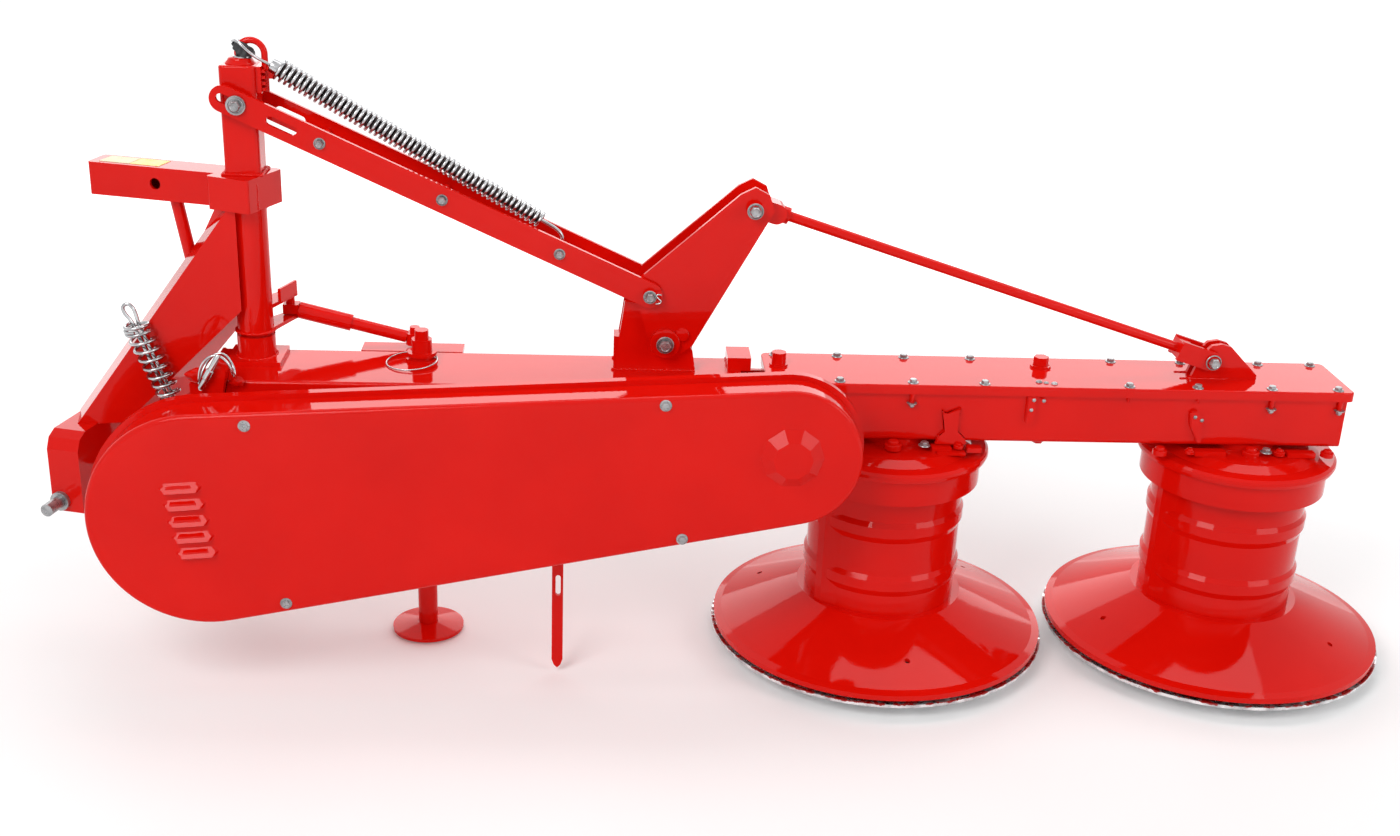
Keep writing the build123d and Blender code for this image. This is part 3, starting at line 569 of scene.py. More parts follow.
def noise_range(tree, make, coords, scale, detail, low, high):
    """Object noise spread between two values."""
    clouds = make("ShaderNodeTexNoise", Scale=scale, Detail=detail, Roughness=0.6)
    tree.links.new(coords, clouds.inputs["Vector"])
    spread = make("ShaderNodeMapRange")
    spread.inputs["From Min"].default_value = 0.3
    spread.inputs["From Max"].default_value = 0.7
    spread.inputs["To Min"].default_value = low
    spread.inputs["To Max"].default_value = high
    tree.links.new(clouds.outputs["Fac"], spread.inputs["Value"])
    return spread.outputs["Result"]


def add_bump(tree, make, shader, height, strength, distance):
    """Bump on the shader's normal."""
    bump = make("ShaderNodeBump", Strength=strength, Distance=distance)
    tree.links.new(height, bump.inputs["Height"])
    tree.links.new(bump.outputs["Normal"], shader.inputs["Normal"])


ENAMEL_ROUGH = (0.02, 0.07)
ENAMEL_PEEL = 0.04
ENAMEL_SHEEN = 0.16


def enamel(name, deep, bright):
    """Glossy sprayed enamel with cloudy colour, uneven gloss and orange peel."""
    material, tree, shader, make = new_material(name)
    coords = make("ShaderNodeTexCoord").outputs["Object"]
    colour = noise_ramp(tree, make, coords, 4.0, 3, ((0.25, deep), (0.75, bright)))
    tree.links.new(colour, shader.inputs["Base Color"])
    gloss = noise_range(tree, make, coords, 14.0, 3, *ENAMEL_ROUGH)
    tree.links.new(gloss, shader.inputs["Roughness"])
    fine = noise_range(tree, make, coords, 190.0, 2, 0.0, 1.0)
    add_bump(tree, make, shader, fine, ENAMEL_PEEL, 0.0004)
    shader.inputs["Specular IOR Level"].default_value = ENAMEL_SHEEN
    return material


def plated(name, low, high, rough=(0.20, 0.38), scale=60.0, metal=1.0):
    """Bright zinc plating, a little cloudy."""
    material, tree, shader, make = new_material(name)
    coords = make("ShaderNodeTexCoord").outputs["Object"]
    colour = noise_ramp(tree, make, coords, scale, 4, ((0.30, low), (0.72, high)))
    tree.links.new(colour, shader.inputs["Base Color"])
    gloss = noise_range(tree, make, coords, scale * 2, 4, rough[0], rough[1])
    tree.links.new(gloss, shader.inputs["Roughness"])
    fine = noise_range(tree, make, coords, 600.0, 2, 0.0, 1.0)
    add_bump(tree, make, shader, fine, 0.12, 0.0002)
    shader.inputs["Metallic"].default_value = metal
    return material


def dull(name, low, high, rough=(0.45, 0.7), scale=90.0, bump=0.3):
    """Dark rubber, plastic or bare print with a mottled surface."""
    material, tree, shader, make = new_material(name)
    coords = make("ShaderNodeTexCoord").outputs["Object"]
    colour = noise_ramp(tree, make, coords, scale, 4, ((0.35, low), (0.68, high)))
    tree.links.new(colour, shader.inputs["Base Color"])
    gloss = noise_range(tree, make, coords, scale * 2, 3, rough[0], rough[1])
    tree.links.new(gloss, shader.inputs["Roughness"])
    fine = noise_range(tree, make, coords, scale * 5, 3, 0.0, 1.0)
    add_bump(tree, make, shader, fine, bump, 0.0006)
    return material


SCOURED_LOW = (0.50, 0.50, 0.51)
SCOURED_HIGH = (0.93, 0.94, 0.95)
# Red paint left on the saucers' rims: real paint, made darker than the enamel as painted shade
# under the discs' edges
RIM_PAINT_SHADED = (0.36, 0.002, 0.001, 1)


def worn_rim(name, paint_above):
    """Steel scoured bright by the ground, with red paint left above an uneven line; that paint is
    darkened as painted shade.
    """
    material, tree, shader, make = new_material(name)
    coords = make("ShaderNodeTexCoord").outputs["Object"]
    steel = noise_ramp(tree, make, coords, 34.0, 6, ((0.36, SCOURED_LOW), (0.62, SCOURED_HIGH)))
    parts = make("ShaderNodeSeparateXYZ")
    tree.links.new(coords, parts.inputs[0])
    ragged = noise_range(tree, make, coords, 46.0, 4, -0.0035, 0.0035)
    height = make("ShaderNodeMath", operation="ADD")
    tree.links.new(parts.outputs["Z"], height.inputs[0])
    tree.links.new(ragged, height.inputs[1])
    painted = make("ShaderNodeMapRange")
    painted.inputs["From Min"].default_value = paint_above
    painted.inputs["From Max"].default_value = paint_above + 0.0006
    tree.links.new(height.outputs[0], painted.inputs["Value"])
    mix = make("ShaderNodeMix", data_type="RGBA")
    tree.links.new(painted.outputs["Result"], mix.inputs["Factor"])
    tree.links.new(steel, mix.inputs[6])
    # The kept paint is dark red: the paint is real, its darkness is painted shade
    mix.inputs[7].default_value = RIM_PAINT_SHADED
    tree.links.new(mix.outputs[2], shader.inputs["Base Color"])
    bare = make("ShaderNodeMath", operation="SUBTRACT")
    bare.inputs[0].default_value = 1.0
    tree.links.new(painted.outputs["Result"], bare.inputs[1])
    tree.links.new(bare.outputs[0], shader.inputs["Metallic"])
    gloss = noise_range(tree, make, coords, 80.0, 5, 0.14, 0.42)
    tree.links.new(gloss, shader.inputs["Roughness"])
    fine = noise_range(tree, make, coords, 300.0, 3, 0.0, 1.0)
    add_bump(tree, make, shader, fine, 0.25, 0.0004)
    return material


MATERIALS = {}
# Height in metres above which the saucers keep their paint, and one that nothing reaches
PAINT_LINE_Z = 0.0300
NO_PAINT_LINE = 10.0


def material_of(name):
    """The machine's finishes by name, made on first use."""
    if name in MATERIALS:
        return MATERIALS[name]
    look = bpy.context.scene.mower
    printed = {"rough": (0.3, 0.42), "scale": 20.0, "bump": 0.05}
    makers = {
        "red enamel": lambda: enamel(name, look.paint_deep, look.paint_bright),
        "zinc plate": lambda: plated(name, look.zinc_dark, look.zinc_bright, metal=0.6),
        "spring steel": lambda: plated(
            name, look.spring_dark, look.spring_bright, rough=(0.12, 0.24), scale=40.0
        ),
        # Near-black steel for the relief spring's inner coil: painted shade standing in for the
        # shadow inside the spring
        "painted shade steel": lambda: plated(
            name, (0.05, 0.035, 0.033), (0.13, 0.10, 0.098), rough=(0.35, 0.55), scale=80.0
        ),
        "bare steel": lambda: worn_rim(name, NO_PAINT_LINE),
        "scoured steel": lambda: worn_rim(name, PAINT_LINE_Z),
        "black rubber": lambda: dull(name, (0.006, 0.006, 0.007), (0.02, 0.02, 0.022)),
        "yellow label": lambda: dull(name, look.label_dark, look.label_bright, **printed),
        "pale label": lambda: dull(name, (0.60, 0.50, 0.24), (0.70, 0.60, 0.34), **printed),
    }
    MATERIALS[name] = makers[name]()
    return MATERIALS[name]


ZINC_NODES = ("lower_pins", "relief_spring", "hitch_spring", "link_pin")
STEEL_NODES = ("input_shaft", "knives_inner", "knives_outer")

# Guard's louvres: middles as x and z, half length and half height, lean, foot and fold
LOUVRES = ((-1224, 404), (-1219, 374), (-1214.5, 344), (-1209, 315), (-1204, 286))
LOUVRE_HALF = (36, 9.5)
LOUVRE_LEAN = math.radians(5)
LOUVRE_FOOT_Y = GUARD_FACE_Y + 0.4
LOUVRE_FOLD = -0.78


def louvre(bm, x, z, proud):
    """Add a pressed louvre: a face that slopes out to a steep lower lip, with pointed ends."""
    columns, rows = 32, 14
    c, s = math.cos(LOUVRE_LEAN), math.sin(LOUVRE_LEAN)
    grid = []
    for r in range(rows + 1):
        v = 1 - 2 * r / rows
        rise = (1 - v) / (1 - LOUVRE_FOLD) if v > LOUVRE_FOLD else (1 + v) / (1 + LOUVRE_FOLD)
        row = []
        for k in range(columns + 1):
            u = 2 * k / columns - 1
            end = min(1, (1 - abs(u)) / 0.13)
            across, up = u * LOUVRE_HALF[0] * (1 - 0.20 * abs(v)), v * LOUVRE_HALF[1]
            out = LOUVRE_FOOT_Y - proud * rise * end
            row.append(bm.verts.new(at(x + across * c - up * s, out, z + across * s + up * c)))
        grid.append(row)
    for low, high in zip(grid, grid[1:]):
        for k in range(columns):
            bm.faces.new((low[k], low[k + 1], high[k + 1], high[k]))
    right = [row[-1] for row in grid[1:]]
    left = [row[0] for row in grid[-2:0:-1]]
    rim = grid[0] + right + grid[-1][-2::-1] + left
    bm.faces.new(list(reversed(rim)))


def tint(name, description, default):
    """A colour that the user may change."""
    return FloatVectorProperty(
        name=name, description=description, default=default, subtype="COLOR", size=3, min=0, max=1
    )


class MOWER_PG_settings(bpy.types.PropertyGroup):
    """Sizes and colours a user may change before the machine is dressed."""

    lens: FloatProperty(
        name="Lens",
        description="Focal length of the camera",
        default=42.81,
        subtype="DISTANCE_CAMERA",
    )
    key_power: FloatProperty(
        name="Key light", description="Power of the main soft light", default=70.0, subtype="POWER"
    )
    paint_deep: tint("Paint, deep", "Deeper tone of the cloudy enamel", (0.66, 0.0035, 0.001))
    paint_bright: tint("Paint, bright", "Brighter tone of the cloudy enamel", (0.76, 0.006, 0.002))
    zinc_dark: tint("Zinc, dark", "Darker tone of the bolts' plating", (0.20, 0.20, 0.205))
    zinc_bright: tint("Zinc, bright", "Brighter tone of the bolts' plating", (0.46, 0.46, 0.47))
    spring_dark: tint("Springs, dark", "Darker tone of springs and clips", (0.30, 0.30, 0.31))
    spring_bright: tint("Springs, bright", "Brighter tone of springs and clips", (0.62, 0.62, 0.63))
    label_dark: tint("Label, dark", "Darker tone of the label", (0.78, 0.55, 0.06))
    label_bright: tint("Label, bright", "Brighter tone of the label", (0.86, 0.64, 0.10))
    relief_turns: FloatProperty(
        name="Relief spring turns", description="Turns of its outer coil", default=54.0
    )
    relief_wire: FloatProperty(
        name="Relief spring wire",
        description="Radius of its outer coil's wire",
        default=0.0029,
        subtype="DISTANCE",
    )
    louvre_proud: FloatProperty(
        name="Louvre height",
        description="How far the louvres stand out of the guard",
        default=0.011,
        subtype="DISTANCE",
    )
    ring_radius: FloatProperty(
        name="Stand ring",
        description="Radius of the wire ring at the stand",
        default=0.046,
        subtype="DISTANCE",
    )


# The settings' names, in the order in which the panel lists them
SETTINGS = (
    "lens", "key_power", "paint_deep", "paint_bright", "zinc_dark", "zinc_bright", "spring_dark",
    "spring_bright", "label_dark", "label_bright", "relief_turns", "relief_wire", "louvre_proud",
    "ring_radius",
)

# Camera: place in millimetres, then pitch down, yaw and roll in degrees
CAMERA_PLACE = (-534.7, -2810.1, 1561.5)
CAMERA_ANGLES = (21.72, 3.72, 2.39)
# Lamps: name, place, target, size in metres, share of the key light's power
LAMPS = (
    ("key", (-2200, -2600, 3000), (-200, 0, 300), (1.8, 1.8), 1.0),
    ("fill", (2600, -1900, 1900), (300, 0, 300), (1.6, 1.6), 0.4),
    ("top", (-100, 720, 2900), (-100, 60, 300), (4.0, 1.0), 0.4),
    ("back", (-100, 3700, 1950), (-100, 0, 500), (6.4, 1.7), 0.9),
)
AMBIENT = 0.42
# Floor: half width and drop in metres, then where its glow starts and ends and how strong
FLOOR_HALF = 14.0
FLOOR_Z = -0.001
GLOW_REACH = (0.9, 3.4)
GLOW_STRENGTH = (0.07, 0.66)


def plain_rays(tree):
    """Factor of 1 for camera, glossy and transmission rays, and 0 for the rest."""
    path = tree.nodes.new("ShaderNodeLightPath")
    last = path.outputs["Is Camera Ray"]
    for ray in ("Is Glossy Ray", "Is Transmission Ray"):
        either = tree.nodes.new("ShaderNodeMath")
        either.operation = "MAXIMUM"
        tree.links.new(last, either.inputs[0])
        tree.links.new(path.outputs[ray], either.inputs[1])
        last = either.outputs[0]
    return last


def backdrop(tree, strength):
    """White world background of a strength."""
    light = tree.nodes.new("ShaderNodeBackground")
    light.inputs["Color"].default_value = (1, 1, 1, 1)
    light.inputs["Strength"].default_value = strength
    return light.outputs[0]


class MOWER_OT_stage(bpy.types.Operator):
    """Camera at the photograph's angle, soft lights, pale floor and world"""

    bl_idname = "mower.stage"
    bl_label = "Stage"

    def execute(self, context):
        settings = context.scene.mower
        camera = bpy.data.cameras.new("camera")
        camera.lens = settings.lens
        camera.sensor_width = 36.0
        camera.sensor_fit = "HORIZONTAL"
        camera_obj = bpy.data.objects.new("camera", camera)
        context.scene.collection.objects.link(camera_obj)
        pitch, yaw, roll = (math.radians(a) for a in CAMERA_ANGLES)
        flat = Vector((math.sin(yaw), math.cos(yaw), 0))
        right = Vector((math.cos(yaw), -math.sin(yaw), 0))
        ahead = flat * math.cos(pitch) - Vector((0, 0, math.sin(pitch)))
        up = flat * math.sin(pitch) + Vector((0, 0, math.cos(pitch)))
        cam_right = right * math.cos(roll) + up * math.sin(roll)
        cam_up = up * math.cos(roll) - right * math.sin(roll)
        turn = Matrix((cam_right, cam_up, -ahead)).transposed().to_4x4()
        camera_obj.matrix_world = Matrix.Translation(at(*CAMERA_PLACE)) @ turn
        context.scene.camera = camera_obj
        context.scene.view_settings.view_transform = "Standard"

        for name, place, target, size, share in LAMPS:
            lamp = bpy.data.lights.new(name, "AREA")
            lamp.shape = "RECTANGLE"
            lamp.size, lamp.size_y = size
            lamp.energy = settings.key_power * share
            lamp_obj = bpy.data.objects.new(name, lamp)
            context.scene.collection.objects.link(lamp_obj)
            lamp_obj.location = at(*place)
            aim = (at(*target) - at(*place)).to_track_quat("-Z", "Y")
            lamp_obj.rotation_euler = aim.to_euler()
            lamp_obj.visible_camera = False

        world = bpy.data.worlds.new("studio")
        context.scene.world = world
        world.use_nodes = True
        tree = world.node_tree
        tree.nodes.clear()
        mix = tree.nodes.new("ShaderNodeMixShader")
        out = tree.nodes.new("ShaderNodeOutputWorld")
        tree.links.new(plain_rays(tree), mix.inputs[0])
        tree.links.new(backdrop(tree, AMBIENT), mix.inputs[1])
        tree.links.new(backdrop(tree, 1.0), mix.inputs[2])
        tree.links.new(mix.outputs[0], out.inputs[0])

        bm = bmesh.new()
        half = FLOOR_HALF
        corners = ((-half, -half), (half, -half), (half, half), (-half, half))
        bm.faces.new([bm.verts.new((x, y, FLOOR_Z)) for x, y in corners])
        floor = bpy.data.meshes.new("floor")
        bm.to_mesh(floor)
        bm.free()
        floor_obj = link_object("floor", floor)
        material, tree, shader, make = new_material("floor white")
        coords = make("ShaderNodeTexCoord").outputs["Object"]
        whites = ((0.3, (0.90, 0.90, 0.90)), (0.7, (0.92, 0.92, 0.92)))
        colour = noise_ramp(tree, make, coords, 2.0, 2, whites)
        tree.links.new(colour, shader.inputs["Base Color"])
        shader.inputs["Roughness"].default_value = 0.8
        shader.inputs["Specular IOR Level"].default_value = 0.1
        reach = make("ShaderNodeVectorMath", operation="LENGTH")
        tree.links.new(coords, reach.inputs[0])
        spread = make("ShaderNodeMapRange", interpolation_type="SMOOTHSTEP")
        labels = ("From Min", "From Max", "To Min", "To Max")
        for label, value in zip(labels, (*GLOW_REACH, *GLOW_STRENGTH)):
            spread.inputs[label].default_value = value
        tree.links.new(reach.outputs["Value"], spread.inputs["Value"])
        glow = make("ShaderNodeMath", operation="MULTIPLY")
        tree.links.new(spread.outputs["Result"], glow.inputs[1])
        tree.links.new(plain_rays(tree), glow.inputs[0])
        tree.links.new(glow.outputs[0], shader.inputs["Emission Strength"])
        shader.inputs["Emission Color"].default_value = (1, 1, 1, 1)
        floor.materials.append(material)
        return {"FINISHED"}


class MOWER_OT_finishes(bpy.types.Operator):
    """Give every carried-over solid its real finish"""

    bl_idname = "mower.finishes"
    bl_label = "Finishes"

    def execute(self, context):
        for name, obj in NODES.items():
            finish = "red enamel"
            if name in ZINC_NODES:
                finish = "zinc plate"
            if name in STEEL_NODES:
                finish = "bare steel"
            if name.startswith("saucer"):
                finish = "scoured steel"
            obj.data.materials.clear()
            obj.data.materials.append(material_of(finish))
        return {"FINISHED"}


NEAR = (0, -1, 0)
FAR = (0, 1, 0)
UP = (0, 0, 1)
DOWN = (0, 0, -1)
BOTH = (-1, 1)

# Guard screws as x and z, and the cover's screws as x and y
GUARD_SCREWS = ((-1113, 516), (-1062, 191), (-426, 565), (-391, 322))
COVER_SCREWS = [(x, -66) for x in (-216, -111, 20, 149, 411, 536, 672, 794)] + [
    (x, 65) for x in (-216, -100, 24, 148, 413, 545, 693, 793)
]
# Red heads on the two cap plates: x, width. The plain screws between them: x
CAP_HEADS = (
    (-155, 20), (-104, 24), (-9, 26), (109, 15), (478, 22), (533, 15), (646, 26), (699, 17),
    (788, 20),
)
CAP_SCREWS = (47, 674)
CAP_SCREW_Y = 82
BETWEEN_CAPS_X = 200
# Studs under the cover's lip: x, drop below the lip, with a nut
COVER_STUDS = (
    (19, 18, True), (409, 9, False), (536, 8, False), (672, 17, True), (798, 18, True),
)
LIP_Z = 524
LIP_Y = 76
# Flat strips between the box and the cap plates: first and last x
CAP_STRIPS = ((60, 96), (124, 150), (540, 598), (712, 764))
# Rib plates on the box's sides, x and z
BOX_RIBS = (
    (
        (74, 494), (84, 486), (109, 499), (104, 479), (104, 453), (121, 441), (124, 428), (66, 428),
        (72, 446), (84, 453),
    ),
    ((524, 499), (536, 503), (550, 488), (553, 440), (546, 438), (527, 474)),
    ((226, 524), (243, 524), (243, 474), (239, 469), (230, 469), (226, 474)),
)
# Small heads on the box's sides as x and z, and on its cover as x, y and width
SIDE_HEADS = ((534, 490), (547, 484), (234, 498), (237, 517), (255, 516))
COVER_HEADS = ((250, -52, 9), (262, -56, 7), (276, -60, 9))


class MOWER_OT_bolts(bpy.types.Operator):
    """Screws, bolts, nuts and washers on every body"""

    bl_idname = "mower.bolts"
    bl_label = "Bolts"

    def execute(self, context):
        zinc = material_of("zinc plate")
        guard = [on_pin(hole, GUARD_FACE_Y, NEAR, 12.5) for hole in GUARD_SCREWS]
        copies("guard_screws", flange_screw, guard, zinc, "frame")
        bolts = [
            on_pin(LINK_F, -51, NEAR, 16.5),
            on_pin(LINK_F, 51, FAR, 16.5),
            on_pin(ROCKER_PIVOT, -52, NEAR, 19),
            on_pin(ROCKER_PIVOT, 52, FAR, 19),
        ]
        copies("frame_bolts", hex_bolt, bolts, zinc, "frame")
        bolts = [on_pin(on_link(s), -46, NEAR, 12) for s in LINK_BOLTS]
        bolts += [on_pin(on_link(s), 46, FAR, 12) for s in LINK_BOLTS]
        copies("link_bolts", hex_bolt, bolts, zinc, "link")
        bolts = [on_pin(LINK_E, -54, NEAR, 14.5), on_pin(LINK_E, 54, FAR, 14.5)]
        copies("rocker_bolts", hex_bolt, bolts, zinc, "rocker")
        nuts = [on_pin(ROD_HEAD, 50, FAR, 20), on_pin(ROD_FOOT, 27, FAR, 18)]
        copies("rod_bolts", nut_and_thread, nuts, zinc, "rod")
        heads = [on_pin(ROD_HEAD, -50, NEAR, 17.5), on_pin(ROD_FOOT, -27, NEAR, 17.5)]
        copies("rod_heads", hex_bolt, heads, zinc, "rod")

        cover = [((x, y, COVER_TOP_Z), UP, 12) for x, y in COVER_SCREWS]
        copies("cover_screws", flange_screw, cover, zinc, "cutter")
        red = material_of("red enamel")
        heads = []
        for x, width in CAP_HEADS:
            top = 429 if x < BETWEEN_CAPS_X else 426
            heads += [((x, side * CAP_SCREW_Y, top), UP, width) for side in BOTH]
        copies("cap_heads", flange_boss, heads, red, "cutter")
        screws = []
        for x in CAP_SCREWS:
            top = 427 if x < BETWEEN_CAPS_X else 425
            screws += [((x, side * CAP_SCREW_Y, top), UP, 13) for side in BOTH]
        copies("cap_screws", flange_screw, screws, zinc, "cutter")
        bosses, nuts = [], []
        for x, drop, nut in COVER_STUDS:
            for side in BOTH:
                bosses.append(((x, side * LIP_Y, LIP_Z), DOWN, drop / STUD_TALL))
                if nut:
                    nuts.append(((x, side * LIP_Y, LIP_Z - drop + 1), DOWN, 8.5))
        copies("stud_bosses", stud_boss, bosses, red, "cutter")
        copies("stud_nuts", nut_and_thread, nuts, zinc, "cutter", size=1.2)
        return {"FINISHED"}


class MOWER_OT_box_details(bpy.types.Operator):
    """Ribs and strips of the gear box, guard louvres, rocker boss rings and strut bracket webs"""

    bl_idname = "mower.box_details"
    bl_label = "Box details"

    def execute(self, context):
        red = material_of("red enamel")
        bm = bmesh.new()
        for side in BOTH:
            for outline in BOX_RIBS:
                prism(bm, outline, side * 71, side * BOX_SIDE_Y, 1.6)
            inner, outer = sorted((side * 72, side * 90))
            for first, last in CAP_STRIPS:
                slab(bm, (first, inner, 417), (last, outer, 427))
            inner, outer = sorted((side * 74, side * 100))
            slab(bm, (68, inner, 415), (120, outer, 421))
        collar = ((0.012, 0), (0.016, 0.001), (0.016, 0.005), (0.015, 0.006))
        ring_stack(bm, collar, 24, facing(at(263, -40, 426), UP))
        plug = ((0.009, 0), (0.0105, 0.001), (0.0105, 0.006))
        ring_stack(bm, plug, 6, facing(at(263, -40, 420.5), UP))
        ribs = mesh_from(bm, "box_ribs", red)
        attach(ribs, "cutter")
        heads = [
            on_pin(head, side * BOX_SIDE_Y, (0, side, 0), 6) for head in SIDE_HEADS for side in BOTH
        ]
        copies("box_screws", round_rivet, heads, material_of("zinc plate"), "cutter", size=1.2)
        bits = [((x, y, COVER_TOP_Z), UP, width) for x, y, width in COVER_HEADS]
        copies("cover_bits", round_rivet, bits, material_of("zinc plate"), "cutter", size=1.3)

        bm = bmesh.new()
        proud = context.scene.mower.louvre_proud * 1000
        for x, z in LOUVRES:
            louvre(bm, x, z, proud)
        hoods = mesh_from(bm, "guard_louvres", red, 30)
        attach(hoods, "frame")

        bm = bmesh.new()
        ring = (
            (0.0255, 0.0365), (0.0262, 0.038), (0.0262, 0.046), (0.025, 0.0475), (0.0205, 0.048),
        )
        stud = ((0.0125, 0.0365), (0.0125, 0.040), (0.0105, 0.0425), (0.006, 0.0435))
        for side in BOTH:
            aside = Matrix.Rotation(math.radians(side * 90), 4, "X")
            for pin, rings, sides in ((ROCKER_PIVOT, ring, 40), (ROCKER_STUD, stud, 24)):
                ring_stack(bm, rings, sides, Matrix.Translation(at(pin[0], 0, pin[1])) @ aside)
        boss = mesh_from(bm, "rocker_bosses", red)
        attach(boss, "rocker")

        bm = bmesh.new()
        wall(bm, (-1144, 24), (-1122, 55), 4, 598, 635)
        wall(bm, (-1099, 12), (-1080, 68), 6, 640, 664)
        web = mesh_from(bm, "strut_bracket_web", red)
        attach(web, "hitch")
        return {"FINISHED"}


# Relief spring: the hooks at its upper and lower end
RELIEF_TOP = (
    (-1084, -2, 1054), (-1096, -5, 1061), (-1108, -9, 1068), (-1117, -13, 1075),
    (-1126, -15, 1084), (-1135, -13, 1093), (-1144, -6, 1097), (-1149, 2, 1093),
)
RELIEF_LOW = (
    (-642, 0, 804), (-628, 0, 796), (-614, 0, 788), (-604, 0, 776), (-606, 0, 764),
    (-616, 0, 762), (-620, 0, 770),
)
# Hitch spring: foot and head of its coil, the drawbar through it and the tail at its foot
HITCH_FOOT = (-1273, -84, 490)
HITCH_HEAD = (-1319, -90, 620)
HITCH_DRAWBAR = (
    (-1277, -84, 488), (-1322, -90, 618), (-1327, -91, 634), (-1338, -92, 648),
    (-1341, -92, 660), (-1331, -92, 667), (-1322, -92, 658), (-1318, -91, 640),
    (-1315, -90, 622), (-1269, -84, 492),
)
HITCH_TAIL = ((-1277, -84, 488), (-1270, -84, 474), (-1258, -84, 470), (-1248, -84, 474))


class MOWER_OT_springs(bpy.types.Operator):
    """Relief spring to the link and the coil spring at the hitch arm, with their hooks"""

    bl_idname = "mower.springs"
    bl_label = "Springs"

    def execute(self, context):
        steel = material_of("spring steel")
        dark = material_of("painted shade steel")
        settings = context.scene.mower
        turns, thick = settings.relief_turns, settings.relief_wire * 1000
        foot, head = (-1078, 0, 1051), (-640, 0, 803.3)
        outer = coil("relief_coil", foot, head, turns, (17, 13), thick, steel)
        # The dark inner coil is painted shade: it stands in for the shadow between and behind the
        # outer coil's wires
        foot, head = (-1076, 0, 1050), (-642, 0, 804.5)
        shade_coil = coil("relief_core", foot, head, 92, (11, 8), 2.3, dark)
        bm = bmesh.new()
        plug = (
            (0.006, -0.004), (0.0115, -0.002), (0.0125, 0.004), (0.0125, 0.016), (0.008, 0.019),
        )
        ring_stack(bm, plug, 20, facing(at(-1086, 0, 1055.5), (424, 0, -240)))
        cap = mesh_from(bm, "relief_plug", steel)
        top = wire("relief_top", RELIEF_TOP, 2.6, steel)
        low = wire("relief_low", RELIEF_LOW, 3.0, steel)
        spring = joined("relief_spring_coils", [outer, shade_coil, cap, top, low])
        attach(spring, "frame")
        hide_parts("relief_spring")

        body = coil("hitch_coil", HITCH_FOOT, HITCH_HEAD, 8.3, (18, 21), 3.0, steel)
        neck = coil("hitch_neck", HITCH_HEAD, (-1321, -90, 629), 1.4, (21, 19), 3.0, steel)
        bar = wire("hitch_drawbar", HITCH_DRAWBAR, 3.2, steel)
        tail = wire("hitch_tail", HITCH_TAIL, 2.5, steel)
        spring = joined("hitch_spring_coils", [body, neck, bar, tail])
        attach(spring, "hitch")
        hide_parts("hitch_spring")
        return {"FINISHED"}


class MOWER_OT_topknot(bpy.types.Operator):
    """Rubber sleeve, washer and red cone on top of the post, and the link's short lever"""

    bl_idname = "mower.topknot"
    bl_label = "Post top"

    def execute(self, context):
        rubber = material_of("black rubber")
        red = material_of("red enamel")
        bm = bmesh.new()
        sides, rows = 32, 12
        grid = []
        for r in range(rows):
            h = r / (rows - 1)
            loop = []
            for k in range(sides):
                a = 2 * math.pi * k / sides
                fold = 1 + 0.10 * math.sin(3 * a + 5 * h) + 0.08 * math.sin(7 * a - 9 * h)
                radius = (15.5 - 6.5 * max(0, h - 0.35)) * fold / 1000
                top = 1070 + 22 * h + 2.5 * math.sin(2 * a + 4 * h)
                middle = at(-1131 - 10 * max(0, h - 0.3), 0, top)
                out = Vector((radius * math.cos(a), radius * math.sin(a), 0))
                loop.append(bm.verts.new(middle + out))
            grid.append(loop)
        skin_loops(bm, grid)
        sleeve = mesh_from(bm, "stub_sleeve", rubber, 50)
        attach(sleeve, "frame")
        bm = bmesh.new()
        steps = ((0.0145, 0), (0.0160, 0.001), (0.0160, 0.003), (0.0145, 0.004))
        ring_stack(bm, steps, 28, Matrix.Translation(at(-1134, 0, 1067.5)))
        washer = mesh_from(bm, "stub_washer", material_of("spring steel"))
        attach(washer, "frame")
        bm = bmesh.new()
        steps = (
            (0.025, 0), (0.0252, 0.003), (0.0225, 0.006), (0.0205, 0.0085), (0.0195, 0.011),
            (0.017, 0.0125),
        )
        ring_stack(bm, steps, 32, Matrix.Translation(at(-1138, 0, 1056)))
        cone = mesh_from(bm, "stub_cone", red)
        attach(cone, "frame")
        line = ((-1166, 47, 1022), (-1174, 48, 1030), (-1180, 48, 1034))
        lever = wire("link_lever", line, 5, rubber)
        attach(lever, "link")
        return {"FINISHED"}


# Weld lines seen from above: round the pad on the beam and round the post's head
PAD_OUTLINE = ((-306, 2), (-270, 2), (-270, 44), (-306, 44), (-306, 2))
COLLAR_OUTLINE = ((-1172, -31), (-1108, -31), (-1108, 31), (-1172, 31), (-1172, -31))


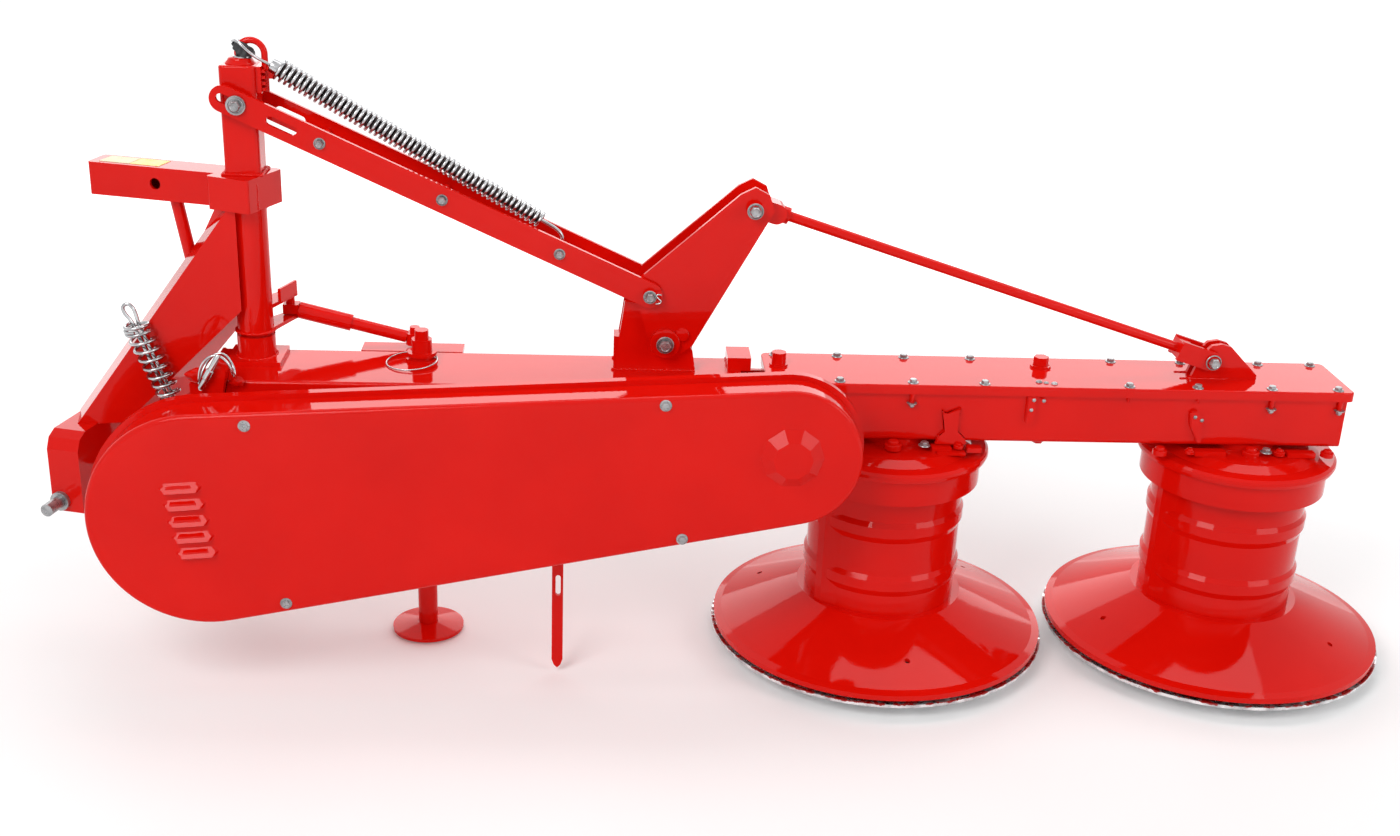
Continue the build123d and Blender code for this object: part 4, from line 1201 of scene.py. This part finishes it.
class MOWER_OT_welds(bpy.types.Operator):
    """Weld beads where the tubes and plates meet"""

    bl_idname = "mower.welds"
    bl_label = "Welds"

    def execute(self, context):
        beam = [
            circle_points((POST_X, 0, 547), 34),
            circle_points((POST_X, 0, 543), 38),
            [(-512, -27, BEAM_TOP_Z), (-370, -27, BEAM_TOP_Z)],
            [(-512, 35, BEAM_TOP_Z), (-370, 35, BEAM_TOP_Z)],
            [(x, y, BEAM_TOP_Z) for x, y in PAD_OUTLINE],
        ]
        welds("frame_welds", beam, 3.4, "frame", 5)
        near = [hitch(-34, 33, 862), hitch(-34, 33, 822)]
        sleeve = [circle_points((POST_X, 0, 594), 33), circle_points((POST_X, 0, 817), 33), near]
        welds("hitch_welds", sleeve, 3.0, "hitch", 7)
        collar = [(x, y, 876.5) for x, y in COLLAR_OUTLINE]
        welds("head_welds", [collar], 3.2, "frame", 9)
        feet = [
            [(520, -17, COVER_TOP_Z), (604, -17, COVER_TOP_Z)],
            [(520, 17, COVER_TOP_Z), (604, 17, COVER_TOP_Z)],
            circle_points((272, 30, 543), 15),
        ]
        welds("cutter_welds", feet, 2.6, "cutter", 11)
        bm = bmesh.new()
        lump(bm, (-1222, -98, 540), (20, 11, 13), 1)
        lump(bm, (-1150, -124, 540), (13, 7, 9), 2)
        crust = mesh_from(bm, "latch_weld", material_of("red enamel"), 40)
        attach(crust, "frame")
        return {"FINISHED"}


class MOWER_OT_label(bpy.types.Operator):
    """Blank yellow label on top of the hitch arm"""

    bl_idname = "mower.label"
    bl_label = "Label"

    def execute(self, context):
        for name, outs, material in (
            ("arm_label", (150, 205), "yellow label"),
            ("arm_label_end", (206, 262), "pale label"),
        ):
            bm = bmesh.new()
            corners = ((outs[0], -21), (outs[1], -21), (outs[1], 21), (outs[0], 21))
            low = [bm.verts.new(at(*hitch(out, near, ARM_TOP_Z))) for out, near in corners]
            high = [bm.verts.new(at(*hitch(out, near, ARM_TOP_Z + 0.4))) for out, near in corners]
            close_loops(bm, low, high)
            bmesh.ops.bevel(bm, geom=list(bm.edges), offset=0.0002, segments=2, affect="EDGES")
            plate = mesh_from(bm, name, material_of(material))
            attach(plate, "hitch")
        return {"FINISHED"}


# Latch: outline of its upright bar as x and z, and its pin's ring and peg
LATCH_BAR = ((-1181, 581), (-1161, 569), (-1176, 510), (-1176, 470), (-1205, 470), (-1210, 522))
LATCH_RING = (
    (-1208, -151, 545), (-1206, -152, 567), (-1199, -153, 585), (-1184, -153, 598),
    (-1168, -153, 597), (-1155, -152, 582), (-1150, -150, 560), (-1152, -130, 552),
    (-1158, -112, 566), (-1172, -110, 588), (-1192, -111, 584), (-1206, -114, 564),
    (-1212, -132, 545),
)
LATCH_PEG = (
    (0.003, 0), (0.0056, 0.003), (0.0056, 0.022), (0.0072, 0.024), (0.0072, 0.040),
    (0.005, 0.042), (0.005, 0.070), (0.003, 0.073),
)
# Split pin at the rocker's end of the slotted link
LINK_COTTER = (
    (-431, -58, 690), (-437, -58, 692), (-441, -58, 688), (-436, -58, 683), (-431, -58, 679),
    (-434, -58, 674), (-441, -58, 674),
)


class MOWER_OT_clips(bpy.types.Operator):
    """The latch's bar and lynch pin, the link's split pin and the thin wire ring at the stand"""

    bl_idname = "mower.clips"
    bl_label = "Clips"

    def execute(self, context):
        steel = material_of("spring steel")
        bm = bmesh.new()
        prism(bm, LATCH_BAR, -148, -117, 1.5)
        post = mesh_from(bm, "latch_bar", material_of("red enamel"))
        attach(post, "frame")
        snap = wire("latch_ring", LATCH_RING, 2.4, steel, cyclic=True)
        bm = bmesh.new()
        ring_stack(bm, LATCH_PEG, 18, facing(at(-1206, -154, 536), (36, 0, 66)))
        peg = mesh_from(bm, "latch_peg", steel)
        pin = joined("latch_pin", [snap, peg])
        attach(pin, "frame")
        wide = context.scene.mower.ring_radius * 1000
        ring = []
        for k in range(12):
            a = 2 * math.pi * k / 12
            c, s = math.cos(a), math.sin(a)
            ring.append((-868 + wide * c, -14 + wide * s, 545 + 3 * math.sin(a + 1)))
        loop = wire("stand_ring", ring, 1.3, steel, cyclic=True)
        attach(loop, "frame")
        pin = wire("link_cotter", LINK_COTTER, 1.5, steel)
        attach(pin, "rocker")
        return {"FINISHED"}


class MOWER_PT_panel(bpy.types.Panel):
    """Lists the machine's makers in the sidebar"""

    bl_idname = "MOWER_PT_panel"
    bl_label = "Drum mower"
    bl_space_type = "VIEW_3D"
    bl_region_type = "UI"
    bl_category = "Mower"

    def draw(self, context):
        for name in SETTINGS:
            self.layout.prop(context.scene.mower, name)
        for maker in MAKERS:
            self.layout.operator(maker.bl_idname)


MAKERS = (
    MOWER_OT_stage,
    MOWER_OT_finishes,
    MOWER_OT_bolts,
    MOWER_OT_box_details,
    MOWER_OT_springs,
    MOWER_OT_topknot,
    MOWER_OT_welds,
    MOWER_OT_label,
    MOWER_OT_clips,
)
CLASSES = (MOWER_PG_settings, *MAKERS, MOWER_PT_panel)


def register():
    for cls in CLASSES:
        bpy.utils.register_class(cls)
    bpy.types.Scene.mower = PointerProperty(type=MOWER_PG_settings)


def unregister():
    del bpy.types.Scene.mower
    for cls in reversed(CLASSES):
        bpy.utils.unregister_class(cls)


def main():
    """Register the makers and run them in order."""
    register()
    for maker in MAKERS:
        group, name = maker.bl_idname.split(".")
        getattr(getattr(bpy.ops, group), name)()


if __name__ == "__main__":
    main()
